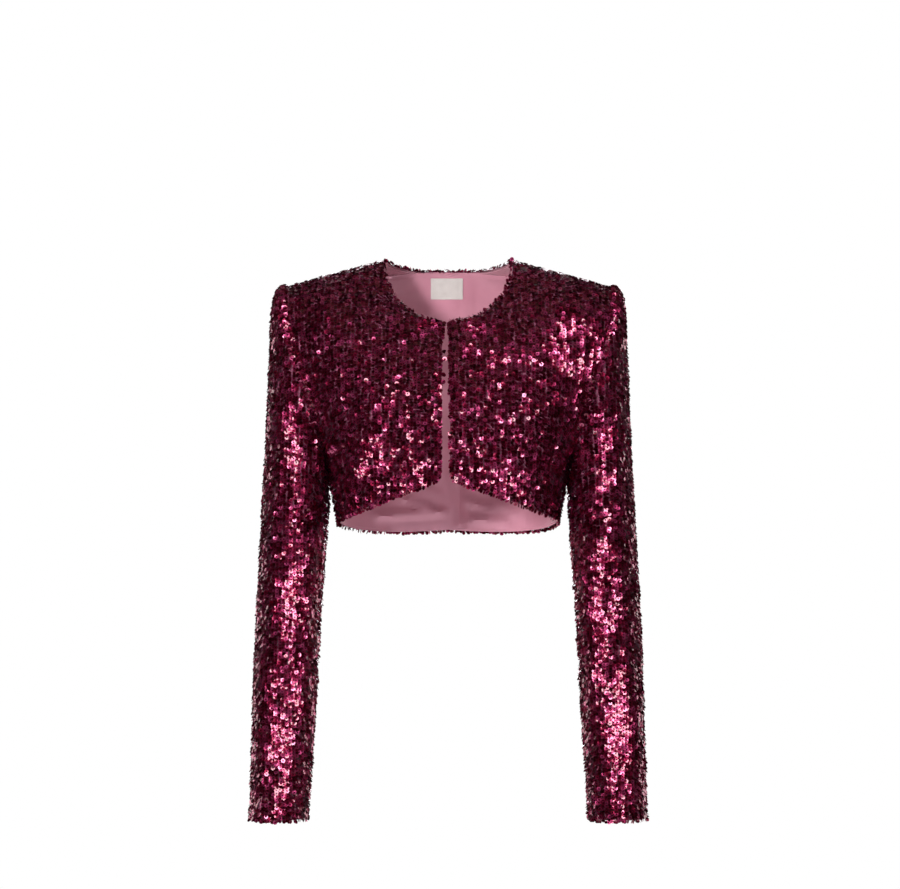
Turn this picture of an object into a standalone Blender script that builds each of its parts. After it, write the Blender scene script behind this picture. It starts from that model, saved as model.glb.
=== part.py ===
"""Short sequinned evening jacket, filled out as if worn, open at the neck, front, hem and cuffs.

Metres, +Z up. The wearer faces -Y and the wearer's left is +X. The origin is where the shoulders carry
the jacket: midway between the neck ends of the two shoulder seams. The front and back panels and the
sleeves are thin walls round a hollow body and hollow sleeves. Tables of sections give their outer faces.
"""

import math

import bpy
import numpy as np

# Cloth thicknesses and the gap left between pieces where they are sewn together
WALL = 0.0022
LINING_WALL = 0.0009
LABEL_WALL = 0.0006
SEAM_GAP = 0.0003
SEAM_SHIFT = 0.6 * SEAM_GAP  # of each piece's edge, a little over half for the corners

CLOTH_PIECES = ("front_right", "front_left", "back", "sleeve_right", "sleeve_left")

# How finely the sections are drawn
ACROSS_HALF = 12
BODY_STEPS_BELOW_ARM = 2

# The fronts meet a little to the wearer's right of the centre, and their edges stop short of it
FRONT_MEETING_X = -0.0032

# Sections of one half of the body, from the hem up to the shoulder seam. "edge" is the end at the centre
# front, centre back or neckline, "side" the end at the side seam or armhole. "out" is the distance in
# front of or behind the shoulder line. turn is how far the section has turned towards the side, in
# degrees, full how far its curve is blown out, crown how much its middle rises, and shift how much of
# FRONT_MEETING_X the edge takes.
SECTION_COLUMNS = (
    "edge_x", "edge_out", "edge_z", "side_x", "side_out", "side_z", "turn", "full", "crown", "shift",
)
FRONT_SECTIONS = (
    ("hem", 0.0075, 0.113, -0.2630, 0.1318, 0.000, -0.3140, 90, 0.43, 0.0034, 1.0),
    ("above hem", 0.0052, 0.116, -0.2480, 0.1350, 0.000, -0.2930, 90, 0.44, 0.001, 1.0),
    ("midriff", 0.0052, 0.118, -0.2280, 0.1400, 0.000, -0.2650, 90, 0.45, 0.000, 1.0),
    ("underarm", 0.0052, 0.119, -0.2040, 0.1465, 0.000, -0.2350, 90, 0.47, 0.000, 1.0),
    ("lower armhole", 0.0052, 0.118, -0.1870, 0.1478, 0.027, -0.2285, 84, 0.44, 0.000, 1.0),
    ("bust", 0.0050, 0.114, -0.1670, 0.1512, 0.049, -0.2080, 67, 0.44, 0.000, 1.0),
    ("over bust", 0.0050, 0.105, -0.1430, 0.1605, 0.061, -0.1720, 52, 0.43, 0.000, 1.0),
    ("chest", 0.0046, 0.092, -0.1170, 0.1730, 0.062, -0.1300, 40, 0.42, 0.000, 1.0),
    ("upper chest", 0.0036, 0.077, -0.0950, 0.1845, 0.056, -0.0900, 30, 0.41, 0.001, 1.0),
    ("neck point", 0.0020, 0.062, -0.0780, 0.1900, 0.048, -0.0680, 22, 0.40, 0.003, 1.0),
    ("neckline low", 0.0290, 0.057, -0.0705, 0.1920, 0.039, -0.0540, 18, 0.40, 0.006, 0.4),
    ("neckline curve", 0.0530, 0.046, -0.0550, 0.1930, 0.028, -0.0430, 15, 0.40, 0.009, 0.0),
    ("neckline side", 0.0710, 0.031, -0.0330, 0.1930, 0.016, -0.0360, 12, 0.40, 0.008, 0.0),
    ("neckline top", 0.0770, 0.015, -0.0110, 0.1922, 0.007, -0.0328, 6, 0.40, 0.004, 0.0),
    ("shoulder seam", 0.0755, 0.000, 0.0000, 0.1912, 0.000, -0.0320, 0, 0.40, 0.000, 0.0),
)
BACK_SECTIONS = (
    ("hem", 0.0000, 0.087, -0.3260, 0.1318, 0.000, -0.3140, 90, 0.46, -0.0095, 0.0),
    ("above hem", 0.0000, 0.089, -0.3000, 0.1350, 0.000, -0.2930, 90, 0.46, -0.004, 0.0),
    ("midriff", 0.0000, 0.091, -0.2700, 0.1400, 0.000, -0.2650, 90, 0.47, -0.001, 0.0),
    ("underarm", 0.0000, 0.094, -0.2380, 0.1465, 0.000, -0.2350, 90, 0.49, 0.000, 0.0),
    ("lower armhole", 0.0000, 0.097, -0.2060, 0.1478, 0.024, -0.2285, 84, 0.44, 0.000, 0.0),
    ("under blade", 0.0000, 0.099, -0.1730, 0.1515, 0.044, -0.2090, 66, 0.43, 0.000, 0.0),
    ("blade", 0.0000, 0.099, -0.1390, 0.1615, 0.056, -0.1730, 51, 0.42, 0.000, 0.0),
    ("over blade", 0.0000, 0.095, -0.1060, 0.1740, 0.057, -0.1310, 39, 0.42, 0.000, 0.0),
    ("upper back", 0.0000, 0.087, -0.0730, 0.1850, 0.049, -0.0920, 30, 0.41, 0.001, 0.0),
    ("below neck", 0.0000, 0.076, -0.0410, 0.1905, 0.041, -0.0690, 24, 0.41, 0.003, 0.0),
    ("neckline centre", 0.0000, 0.063, -0.0110, 0.1925, 0.032, -0.0540, 19, 0.40, 0.006, 0.0),
    ("neckline low", 0.0270, 0.060, -0.0105, 0.1933, 0.023, -0.0430, 16, 0.40, 0.008, 0.0),
    ("neckline curve", 0.0500, 0.048, -0.0080, 0.1932, 0.014, -0.0370, 13, 0.40, 0.007, 0.0),
    ("neckline top", 0.0690, 0.026, -0.0035, 0.1924, 0.006, -0.0335, 8, 0.40, 0.004, 0.0),
    ("shoulder seam", 0.0755, 0.000, 0.0000, 0.1912, 0.000, -0.0320, 0, 0.40, 0.000, 0.0),
)
UNDERARM_ROW = 3
TOP_ROW = 14

# Rings of a sleeve, from the armhole down to the cuff. "outer" runs down the arm's outside from the
# shoulder tip, "inner" down its inside from the underarm. middle_y is the ring's middle, front and back
# its reach either way from there, square its superellipse exponent, and even how far its points have
# left the spacing of the armhole's and become even.
RING_COLUMNS = (
    "outer_x", "outer_z", "inner_x", "inner_z", "middle_y", "front", "back", "square", "even",
)
SLEEVE_RINGS = (
    ("armhole", 0.1912, -0.0320, 0.1465, -0.2350, 0.000, 0.062, 0.057, 2.10, 0.00),
    ("sleeve head", 0.1968, -0.0300, 0.1467, -0.2375, 0.000, 0.063, 0.058, 2.10, 0.00),
    ("head turn", 0.2033, -0.0335, 0.1466, -0.2410, 0.000, 0.064, 0.060, 2.10, 0.10),
    ("head side", 0.2079, -0.0420, 0.1462, -0.2450, 0.000, 0.065, 0.061, 2.10, 0.20),
    ("cap top", 0.2106, -0.0580, 0.1458, -0.2490, 0.000, 0.065, 0.062, 2.10, 0.30),
    ("cap upper", 0.2122, -0.0850, 0.1453, -0.2530, 0.000, 0.065, 0.062, 2.10, 0.45),
    ("cap middle", 0.2134, -0.1180, 0.1448, -0.2580, 0.000, 0.064, 0.062, 2.15, 0.60),
    ("cap lower", 0.2148, -0.1550, 0.1444, -0.2650, 0.000, 0.063, 0.061, 2.20, 0.75),
    ("biceps upper", 0.2166, -0.1960, 0.1442, -0.2740, 0.000, 0.061, 0.060, 2.20, 0.88),
    ("biceps", 0.2186, -0.2420, 0.1448, -0.2860, -0.001, 0.060, 0.059, 2.20, 1.00),
    ("upper arm", 0.2213, -0.2900, 0.1462, -0.3080, -0.001, 0.058, 0.058, 2.20, 1.00),
    ("above elbow", 0.2240, -0.3400, 0.1486, -0.3440, -0.003, 0.056, 0.056, 2.20, 1.00),
    ("elbow top", 0.2266, -0.3900, 0.1518, -0.3910, -0.006, 0.054, 0.055, 2.20, 1.00),
    ("elbow", 0.2287, -0.4350, 0.1543, -0.4350, -0.010, 0.052, 0.053, 2.20, 1.00),
    ("below elbow", 0.2303, -0.4800, 0.1567, -0.4800, -0.015, 0.050, 0.051, 2.20, 1.00),
    ("forearm", 0.2316, -0.5250, 0.1592, -0.5250, -0.020, 0.048, 0.048, 2.20, 1.00),
    ("forearm low", 0.2326, -0.5700, 0.1620, -0.5700, -0.026, 0.045, 0.045, 2.20, 1.00),
    ("above wrist", 0.2335, -0.6080, 0.1648, -0.6080, -0.031, 0.043, 0.043, 2.20, 1.00),
    ("wrist", 0.2342, -0.6400, 0.1665, -0.6400, -0.035, 0.042, 0.042, 2.20, 1.00),
    ("cuff", 0.2348, -0.6640, 0.1677, -0.6640, -0.038, 0.041, 0.041, 2.20, 1.00),
)

# The cap keeps some of the armhole's own shape for this many rings, fading with this power
CAP_RINGS = 6.0
CAP_FADE = 1.5

# The back and each sleeve are cut as one piece, but stand here as two solids each: the back's right and
# left half, and a sleeve's upper and lower tube, which are parted at this ring
PARTING_RING = 11

# The largest folds, each a soft ridge or trough along a straight line seen from the front. rise is out
# of the cloth, or into the body on the lining; width is from the line to where the fold has faded, as
# a bell curve of this steepness.
FOLD_STEEPNESS = 3.0
FOLD_COLUMNS = ("from_x", "from_z", "to_x", "to_z", "width", "rise")
FRONT_RIGHT_FOLDS = (
    ("beside armhole", -0.166, -0.118, -0.146, -0.214, 0.014, -0.0022),
    ("from bust", -0.092, -0.190, -0.104, -0.310, 0.022, 0.0020),
    ("under bust", -0.062, -0.205, -0.066, -0.295, 0.018, -0.0014),
)
FRONT_LEFT_FOLDS = (
    ("beside armhole", 0.168, -0.110, 0.148, -0.206, 0.013, -0.0020),
    ("from bust", 0.086, -0.186, 0.100, -0.310, 0.022, 0.0018),
    ("under bust", 0.052, -0.212, 0.060, -0.292, 0.017, -0.0016),
)
BACK_FOLDS = (
    ("right blade", -0.078, -0.150, -0.070, -0.330, 0.024, 0.0030),
    ("right of centre", -0.036, -0.190, -0.030, -0.330, 0.018, -0.0022),
    ("left of centre", 0.028, -0.175, 0.026, -0.330, 0.020, 0.0024),
    ("left blade", 0.074, -0.160, 0.066, -0.330, 0.020, -0.0024),
    ("left side", 0.108, -0.170, 0.100, -0.320, 0.018, 0.0020),
)
SLEEVE_FRONT_FOLDS = (
    ("cap", 0.197, -0.150, 0.176, -0.232, 0.015, -0.0020),
    ("elbow upper", 0.152, -0.398, 0.196, -0.380, 0.013, -0.0030),
    ("elbow middle", 0.154, -0.436, 0.205, -0.424, 0.015, -0.0034),
    ("elbow lower", 0.157, -0.482, 0.196, -0.462, 0.014, -0.0026),
    ("forearm", 0.182, -0.500, 0.196, -0.610, 0.016, 0.0016),
)
SLEEVE_BACK_FOLDS = (
    ("cap", 0.192, -0.140, 0.170, -0.224, 0.016, -0.0022),
    ("elbow upper", 0.228, -0.402, 0.182, -0.414, 0.014, -0.0024),
    ("elbow lower", 0.229, -0.446, 0.176, -0.456, 0.015, -0.0026),
)
LINING_FOLDS = (
    ("long valley above", -0.082, -0.298, -0.024, -0.301, 0.009, 0.0006),
    ("long ridge", -0.088, -0.309, 0.002, -0.306, 0.010, 0.0034),
    ("centre back tuck", 0.003, -0.190, 0.016, -0.322, 0.010, 0.0028),
    ("left swell", 0.046, -0.286, 0.078, -0.300, 0.015, 0.0024),
    ("shoulder blade right", -0.058, -0.020, -0.060, -0.110, 0.020, 0.0014),
    ("shoulder blade left", 0.060, -0.020, 0.052, -0.110, 0.020, 0.0014),
)

BODY_FOLDS = {"front_right": FRONT_RIGHT_FOLDS, "front_left": FRONT_LEFT_FOLDS, "back": BACK_FOLDS}

# The lining stops this far short of the outer cloth: at the hem and neck, and at the seams
LINING_EDGE_MARGIN = 0.0028
LINING_SEAM_MARGIN = 0.0016

# The woven label inside the back neck
LABEL_WIDTH = 0.039
LABEL_HEIGHT = 0.025
LABEL_X = -0.0019
LABEL_Z = -0.0318
LABEL_ACROSS = 4
LABEL_UP = 2
LABEL_CLEARANCE = 0.0007

# Colour, roughness and metallic value of each material
MATERIALS = {
    "sequins": ((0.190, 0.008, 0.050, 1.0), 0.28, 0.85),
    "satin": ((0.560, 0.190, 0.300, 1.0), 0.38, 0.0),
    "label": ((0.720, 0.660, 0.630, 1.0), 0.80, 0.0),
}

# Edges sharper than this many degrees stay sharp when the faces are shaded
SHARP_ANGLE = 50

# Lengths are compared at this many decimals of a metre, and a face seen edge on has less area than this
POINT_DECIMALS = 6
EDGE_ON_AREA = 1e-12


def clear_scene():
    for thing in list(bpy.data.objects):
        bpy.data.objects.remove(thing, do_unlink=True)


def named(columns, row):
    return dict(zip(columns, row))


def read_rows(rows, places):
    """Rows of a table at places between its own, each column carried by a monotone cubic."""
    table = np.array([row[1:] for row in rows], float)
    gaps = np.diff(table, axis=0)
    before, after = gaps[:-1], gaps[1:]
    same_way = before * after > 0
    both = np.where(same_way, before + after, 1.0)
    slopes = np.vstack([gaps[:1], np.where(same_way, 2 * before * after / both, 0.0), gaps[-1:]])
    first = np.minimum(np.asarray(places).astype(int), len(table) - 2)
    part = (np.asarray(places) - first)[:, None]
    rest = 1 - part
    return (
        table[first] * (1 + 2 * part) * rest**2
        + slopes[first] * part * rest**2
        + table[first + 1] * (1 + 2 * rest) * part**2
        - slopes[first + 1] * rest * part**2
    )


def body_places():
    """Where along the tables the body's sections are drawn: finer below the arm, as tabled above it."""
    low = np.arange(0, UNDERARM_ROW, 1 / BODY_STEPS_BELOW_ARM)
    return np.concatenate([low, np.arange(UNDERARM_ROW, TOP_ROW + 1)])


def section(row, forward, side):
    """Points of one section from its edge to its side. forward is -1 in front and 1 behind."""
    cut = named(SECTION_COLUMNS, row)
    run = cut["side_x"] - cut["edge_x"]
    chord = math.hypot(run, cut["side_out"] - cut["edge_out"])
    reach = cut["full"] * chord
    turn = math.radians(cut["turn"])
    x = (cut["edge_x"], cut["edge_x"] + reach, cut["side_x"] - reach * math.cos(turn), cut["side_x"])
    out = (cut["edge_out"], cut["edge_out"], cut["side_out"] + reach * math.sin(turn), cut["side_out"])
    u = np.linspace(0, 1, ACROSS_HALF + 1)
    weights = np.array([(1 - u) ** 3, 3 * u * (1 - u) ** 2, 3 * u**2 * (1 - u), u**3])
    across = np.array(x) @ weights
    share = (across - cut["edge_x"]) / run
    up = cut["edge_z"] + (cut["side_z"] - cut["edge_z"]) * share + 4 * cut["crown"] * u * (1 - u)
    meeting = cut["shift"] * FRONT_MEETING_X * (1 - share) ** 2
    return np.stack([side * across + meeting, forward * (np.array(out) @ weights), up], axis=1)


def half_body(rows, forward, side):
    return np.array([section(row, forward, side) for row in read_rows(rows, body_places())])


def armhole(side):
    """The armhole's points, from the shoulder tip down the front to the underarm and up the back."""
    places = np.arange(UNDERARM_ROW, TOP_ROW + 1)
    loops = []
    for rows, forward in ((FRONT_SECTIONS, -1), (BACK_SECTIONS, 1)):
        ends = np.array([section(row, forward, side)[-1] for row in read_rows(rows, places)])
        loops.append(ends[::-1])
    return np.concatenate([loops[0], loops[1][-2:0:-1]])


def down_share(loop, half):
    """How far down the armhole each of its points lies, from 0 at the shoulder to 1 at the underarm."""
    steps = np.linalg.norm(np.diff(loop, axis=0, append=loop[:1]), axis=1)
    front = np.concatenate([[0], np.cumsum(steps[:half])]) / steps[:half].sum()
    back = 1 - np.cumsum(steps[half:])[:-1] / steps[half:].sum()
    return np.concatenate([front, back])


def ring(row, shares, half, side):
    """One oval ring of a sleeve, its first point on the outside of the arm."""
    cut = named(RING_COLUMNS, row)
    even = np.concatenate([np.arange(half + 1), np.arange(half - 1, 0, -1)]) / half
    angle = math.pi * (shares + (even - shares) * cut["even"])
    power = 2 / cut["square"]
    along = np.sign(np.cos(angle)) * np.abs(np.cos(angle)) ** power
    aside = np.abs(np.sin(angle)) ** power
    reach = np.where(np.arange(len(angle)) <= half, -cut["front"], cut["back"])
    x = (cut["outer_x"] + cut["inner_x"]) / 2 + along * (cut["outer_x"] - cut["inner_x"]) / 2
    z = (cut["outer_z"] + cut["inner_z"]) / 2 + along * (cut["outer_z"] - cut["inner_z"]) / 2
    return np.stack([side * x, cut["middle_y"] + aside * reach, z], axis=1)


def sleeve_rings(side):
    """Rings that start as the armhole itself and leave its shape over the sleeve cap."""
    loop = armhole(side)
    half = len(loop) // 2
    shares = down_share(loop, half)
    rings = [ring(row[1:], shares, half, side) for row in SLEEVE_RINGS]
    own_shape = loop - rings[0]
    fade = np.clip(1 - np.arange(len(rings)) / CAP_RINGS, 0, 1) ** CAP_FADE
    return np.array([points + keep * own_shape for points, keep in zip(rings, fade)])


def grid_faces(rows, columns, closed, flip):
    """Triangles over a grid of points, all with the same diagonal, closed round the columns or not."""
    faces = []
    for i in range(rows - 1):
        for j in range(columns if closed else columns - 1):
            after = (j + 1) % columns
            a, b = i * columns + j, i * columns + after
            c, d = a + columns - j + after, a + columns
            corners = ((a, b, c), (a, c, d))
            faces += [corner[::-1] for corner in corners] if flip else list(corners)
    return faces


def place(point):
    return tuple(np.round(point, POINT_DECIMALS))


def joined(parts):
    """One surface from several of points and faces, with the points they share made one."""
    found, points, faces = {}, [], []
    for part_points, part_faces in parts:
        index = []
        for point in part_points:
            key = place(point)
            if key not in found:
                found[key] = len(points)
                points.append(point)
            index.append(found[key])
        faces += [tuple(index[i] for i in face) for face in part_faces]
    return np.array(points), faces


def surface_of(name):
    """The outer face of one of the five cloth pieces, as points and outward triangles."""
    if name.startswith("front"):
        side = -1 if name.endswith("right") else 1
        grid = half_body(FRONT_SECTIONS, -1, side)
        return joined([(grid.reshape(-1, 3), grid_faces(*grid.shape[:2], False, side < 0))])
    if name == "back":
        halves = []
        for side in (-1, 1):
            grid = half_body(BACK_SECTIONS, 1, side)
            halves.append((grid.reshape(-1, 3), grid_faces(*grid.shape[:2], False, side > 0)))
        return joined(halves)
    side = -1 if name.endswith("right") else 1
    grid = sleeve_rings(side)
    return joined([(grid.reshape(-1, 3), grid_faces(*grid.shape[:2], True, side < 0))])


def edges_of(faces):
    """The open edges of a surface, each in the direction its one face runs it."""
    runs = [edge for face in faces for edge in zip(face, face[1:] + face[:1])]
    known = set(runs)
    return [edge for edge in runs if edge[::-1] not in known]


def rim_of(faces):
    return sorted({i for edge in edges_of(faces) for i in edge})


def face_turns(points, faces):
    """For each point, the normals of the faces round it, added up by their size."""
    corners = points[np.array(faces)]
    turned = np.cross(corners[:, 1] - corners[:, 0], corners[:, 2] - corners[:, 0])
    total = np.zeros_like(points)
    for i in range(3):
        np.add.at(total, np.array(faces)[:, i], turned)
    return total


def towards_middles(values, faces):
    """For each point, how far a value given at the points changes to the middles of the faces round it."""
    corners = np.array(faces)
    middles = values[corners].mean(axis=1)
    total, count = np.zeros_like(values), np.zeros(len(values))
    for i in range(3):
        np.add.at(total, corners[:, i], middles - values[corners[:, i]])
        np.add.at(count, corners[:, i], 1)
    return total / count[:, None]


def inward_of(points, faces):
    """For each point, the way into its own surface: towards the middle of the faces round it."""
    run = towards_middles(points, faces)
    return run / np.linalg.norm(run, axis=1, keepdims=True)


def fold_rise(points, rows):
    """How far a table of folds lifts each point."""
    rise = np.zeros(len(points))
    for row in rows:
        fold = named(FOLD_COLUMNS, row[1:])
        start = np.array([fold["from_x"], fold["from_z"]])
        run = np.array([fold["to_x"], fold["to_z"]]) - start
        offset = points[:, [0, 2]] - start
        along = np.clip(offset @ run / (run @ run), 0, 1)
        away = np.linalg.norm(offset - along[:, None] * run, axis=1) / fold["width"]
        rise += fold["rise"] * np.exp(-FOLD_STEEPNESS * away**2)
    return rise


def rise_on(name, points):
    """How far the folds lift a piece's points. A sleeve has some folds in front and others behind."""
    if name in BODY_FOLDS:
        return fold_rise(points, BODY_FOLDS[name])
    as_left = points * (1 if name.endswith("left") else -1, 1, 1)
    in_front, behind = fold_rise(as_left, SLEEVE_FRONT_FOLDS), fold_rise(as_left, SLEEVE_BACK_FOLDS)
    return np.where(as_left[:, 1] < 0, in_front, behind)


def cut_cloth():
    """Every cloth piece's outer points, faces and the way its wall grows inwards, parted at the seams.

    The body's panels share their normals where they meet, so that their walls stand side by side. A
    sleeve keeps its own, because the cloth dips where it leaves the armhole.
    """
    surfaces = {name: surface_of(name) for name in CLOTH_PIECES}
    body_normals, meeting = {}, {}
    for name, (points, faces) in surfaces.items():
        turned = face_turns(points, faces)
        for i in rim_of(faces):
            spot = place(points[i])
            meeting[spot] = meeting.get(spot, 0) + 1
            if name in BODY_FOLDS:
                body_normals[spot] = body_normals.get(spot, 0) + turned[i]
    cut = {}
    for name, (points, faces) in surfaces.items():
        turned, inward = face_turns(points, faces), inward_of(points, faces)
        on_seam = [i for i in rim_of(faces) if meeting[place(points[i])] > 1]
        rise = rise_on(name, points)
        rise[on_seam] = 0
        if name in BODY_FOLDS:
            for i in on_seam:
                turned[i] = body_normals[place(points[i])]
        normals = turned / np.linalg.norm(turned, axis=1, keepdims=True)
        moved = points + normals * rise[:, None]
        moved[on_seam] += inward[on_seam] * SEAM_SHIFT
        cut[name] = (moved, faces, normals, on_seam)
    return cut


def parted(piece, chosen):
    """One cloth piece as two solids, of its chosen faces and of the rest, drawn apart where they met."""
    points, faces, normals, on_seam = piece
    groups = [[face for face, mine in zip(faces, chosen) if mine == wanted] for wanted in (True, False)]
    used = [sorted({i for face in group for i in face}) for group in groups]
    meeting = set(used[0]) & set(used[1])
    solids = []
    for group, old in zip(groups, used):
        number = {before: now for now, before in enumerate(old)}
        own = [tuple(number[i] for i in face) for face in group]
        moved, edge = points[old], [number[i] for i in meeting]
        moved[edge] += inward_of(moved, own)[edge] * SEAM_SHIFT
        solids.append((moved, own, normals[old], [number[i] for i in on_seam if i in number]))
    return solids


def in_solids(cloth):
    """The cloth pieces, the back as its right and left half and each sleeve as an upper and a lower tube."""
    solids = {}
    for name, piece in cloth.items():
        points, faces = piece[:2]
        if name == "back":
            halves = parted(piece, [points[list(face), 0].sum() < 0 for face in faces])
            solids["back_right"], solids["back_left"] = halves
        elif name in BODY_FOLDS:
            solids[name] = piece
        else:
            across = len(points) // len(SLEEVE_RINGS)
            tubes = parted(piece, [min(face) // across < PARTING_RING for face in faces])
            solids[name + "_upper"], solids[name + "_lower"] = tubes
    return solids


def walled(points, faces, grow, start, thickness):
    """A closed wall: the surface moved in by start, and again by the thickness, joined at its rim."""
    outer = points - grow * np.asarray(start).reshape(-1, 1)
    inner = outer - grow * thickness
    count = len(points)
    sides = []
    for a, b in edges_of(faces):
        sides += [(b, a, a + count), (b, a + count, b + count)]
    backs = [tuple(i + count for i in reversed(face)) for face in faces]
    return np.vstack([outer, inner]), list(faces) + backs + sides


def material(slot):
    made = bpy.data.materials.get(slot)
    if made:
        return made
    colour, roughness, metallic = MATERIALS[slot]
    made = bpy.data.materials.new(slot)
    made.use_nodes = True
    shader = made.node_tree.nodes["Principled BSDF"]
    shader.inputs["Base Color"].default_value = colour
    shader.inputs["Roughness"].default_value = roughness
    shader.inputs["Metallic"].default_value = metallic
    return made


def solid(name, points, faces, slot):
    mesh = bpy.data.meshes.new(name)
    mesh.from_pydata(points.tolist(), [], faces)
    mesh.materials.append(material(slot))
    mesh.shade_smooth()
    mesh.set_sharp_from_angle(angle=math.radians(SHARP_ANGLE))
    made = bpy.data.objects.new(name, mesh)
    bpy.context.collection.objects.link(made)
    return made


def make_lining(back):
    """The satin inside the back, made from the back's points, moved in, with its own folds."""
    points, faces, grow, on_seam = back
    run, turn = towards_middles(points, faces), towards_middles(grow, faces)
    laid, laid_grow = points.copy(), grow.copy()
    for i in rim_of(faces):
        margin = LINING_SEAM_MARGIN if i in on_seam else LINING_EDGE_MARGIN
        share = margin / np.linalg.norm(run[i])
        laid[i] += run[i] * share
        laid_grow[i] += turn[i] * share
    lift = fold_rise(laid, LINING_FOLDS)
    lift[on_seam] = 0
    start = WALL + SEAM_GAP + np.maximum(lift, 0)
    points, faces = walled(laid, faces, laid_grow, start, LINING_WALL)
    solid("back_lining", points, faces, "satin")
    return points, faces


def depth_at(points, faces, x, z):
    """How far back a surface lies behind one place seen from the front, nearest first."""
    found = []
    for face in faces:
        a, b, c = points[list(face)][:, [0, 2]]
        across = np.array([b - a, c - a]).T
        if abs(np.linalg.det(across)) < EDGE_ON_AREA:
            continue
        s, t = np.linalg.solve(across, np.array([x, z]) - a)
        if s >= 0 and t >= 0 and s + t <= 1:
            y = points[list(face)][:, 1]
            found.append(y[0] + s * (y[1] - y[0]) + t * (y[2] - y[0]))
    return min(found)


def make_label(lining):
    """A flat woven label that follows the lining behind it."""
    points, faces = lining
    near_neck = [face for face in faces if points[list(face)][:, 2].max() > LABEL_Z - 2 * LABEL_HEIGHT]
    grid = []
    for i in range(LABEL_UP + 1):
        for j in range(LABEL_ACROSS + 1):
            x = LABEL_X + LABEL_WIDTH * (j / LABEL_ACROSS - 0.5)
            z = LABEL_Z + LABEL_HEIGHT * (i / LABEL_UP - 0.5)
            grid.append((x, depth_at(points, near_neck, x, z) - LABEL_CLEARANCE - LABEL_WALL, z))
    grid = np.array(grid)
    label_faces = grid_faces(LABEL_UP + 1, LABEL_ACROSS + 1, False, False)
    into_cloth = face_turns(grid, label_faces)
    into_cloth /= np.linalg.norm(into_cloth, axis=1, keepdims=True)
    solid("label", *walled(grid, label_faces, into_cloth, 0.0, LABEL_WALL), "label")


clear_scene()
cloth = cut_cloth()
for piece, (piece_points, piece_faces, piece_grow, _) in in_solids(cloth).items():
    solid(piece, *walled(piece_points, piece_faces, piece_grow, 0.0, WALL), "sequins")
make_label(make_lining(cloth["back"]))
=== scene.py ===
"""Looks of the short sequinned evening jacket: its sequins, mesh, satin lining and label.

The cloth follows the same tables of sections as the CAD model, drawn more finely. Rows of sequins run
down every panel on a mesh backing, and the inside is lined in satin.
"""

import math
from types import SimpleNamespace

import bpy
import numpy as np
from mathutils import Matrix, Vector, noise
from mathutils.bvhtree import BVHTree


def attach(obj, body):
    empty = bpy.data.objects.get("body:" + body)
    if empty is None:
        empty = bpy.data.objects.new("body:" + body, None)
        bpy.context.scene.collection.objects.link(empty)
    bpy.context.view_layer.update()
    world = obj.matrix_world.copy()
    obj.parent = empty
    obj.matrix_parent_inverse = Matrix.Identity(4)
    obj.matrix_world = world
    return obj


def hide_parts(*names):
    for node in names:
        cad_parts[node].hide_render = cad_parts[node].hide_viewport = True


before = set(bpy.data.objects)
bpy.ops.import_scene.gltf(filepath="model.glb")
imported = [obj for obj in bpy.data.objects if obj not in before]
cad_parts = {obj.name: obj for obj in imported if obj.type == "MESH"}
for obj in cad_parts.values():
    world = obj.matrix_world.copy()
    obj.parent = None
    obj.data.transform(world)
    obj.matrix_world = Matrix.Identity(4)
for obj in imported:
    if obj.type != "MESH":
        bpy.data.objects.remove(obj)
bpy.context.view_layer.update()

# Layers of the cloth, as depths below the CAD model's outer faces: sequins, mesh backing, satin inside
SEQUIN_DEPTH = 0.0001
MESH_DEPTH = 0.0012
CLOTH_WALL = 0.0010
CAD_WALL = 0.0022
SEAM_GAP = 0.0003
SEAM_SHIFT = 0.6 * SEAM_GAP
SHARP_ANGLE = 50

# How finely the sections are drawn
ACROSS_HALF = 36
BODY_STEPS_BELOW_ARM = 6
BODY_STEPS_ABOVE_ARM = 3
SLEEVE_STEPS = 4
POINT_DECIMALS = 6

# The fronts meet a little to the wearer's right of the centre, and their edges stop short of it
FRONT_MEETING_X = -0.0032

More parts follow.
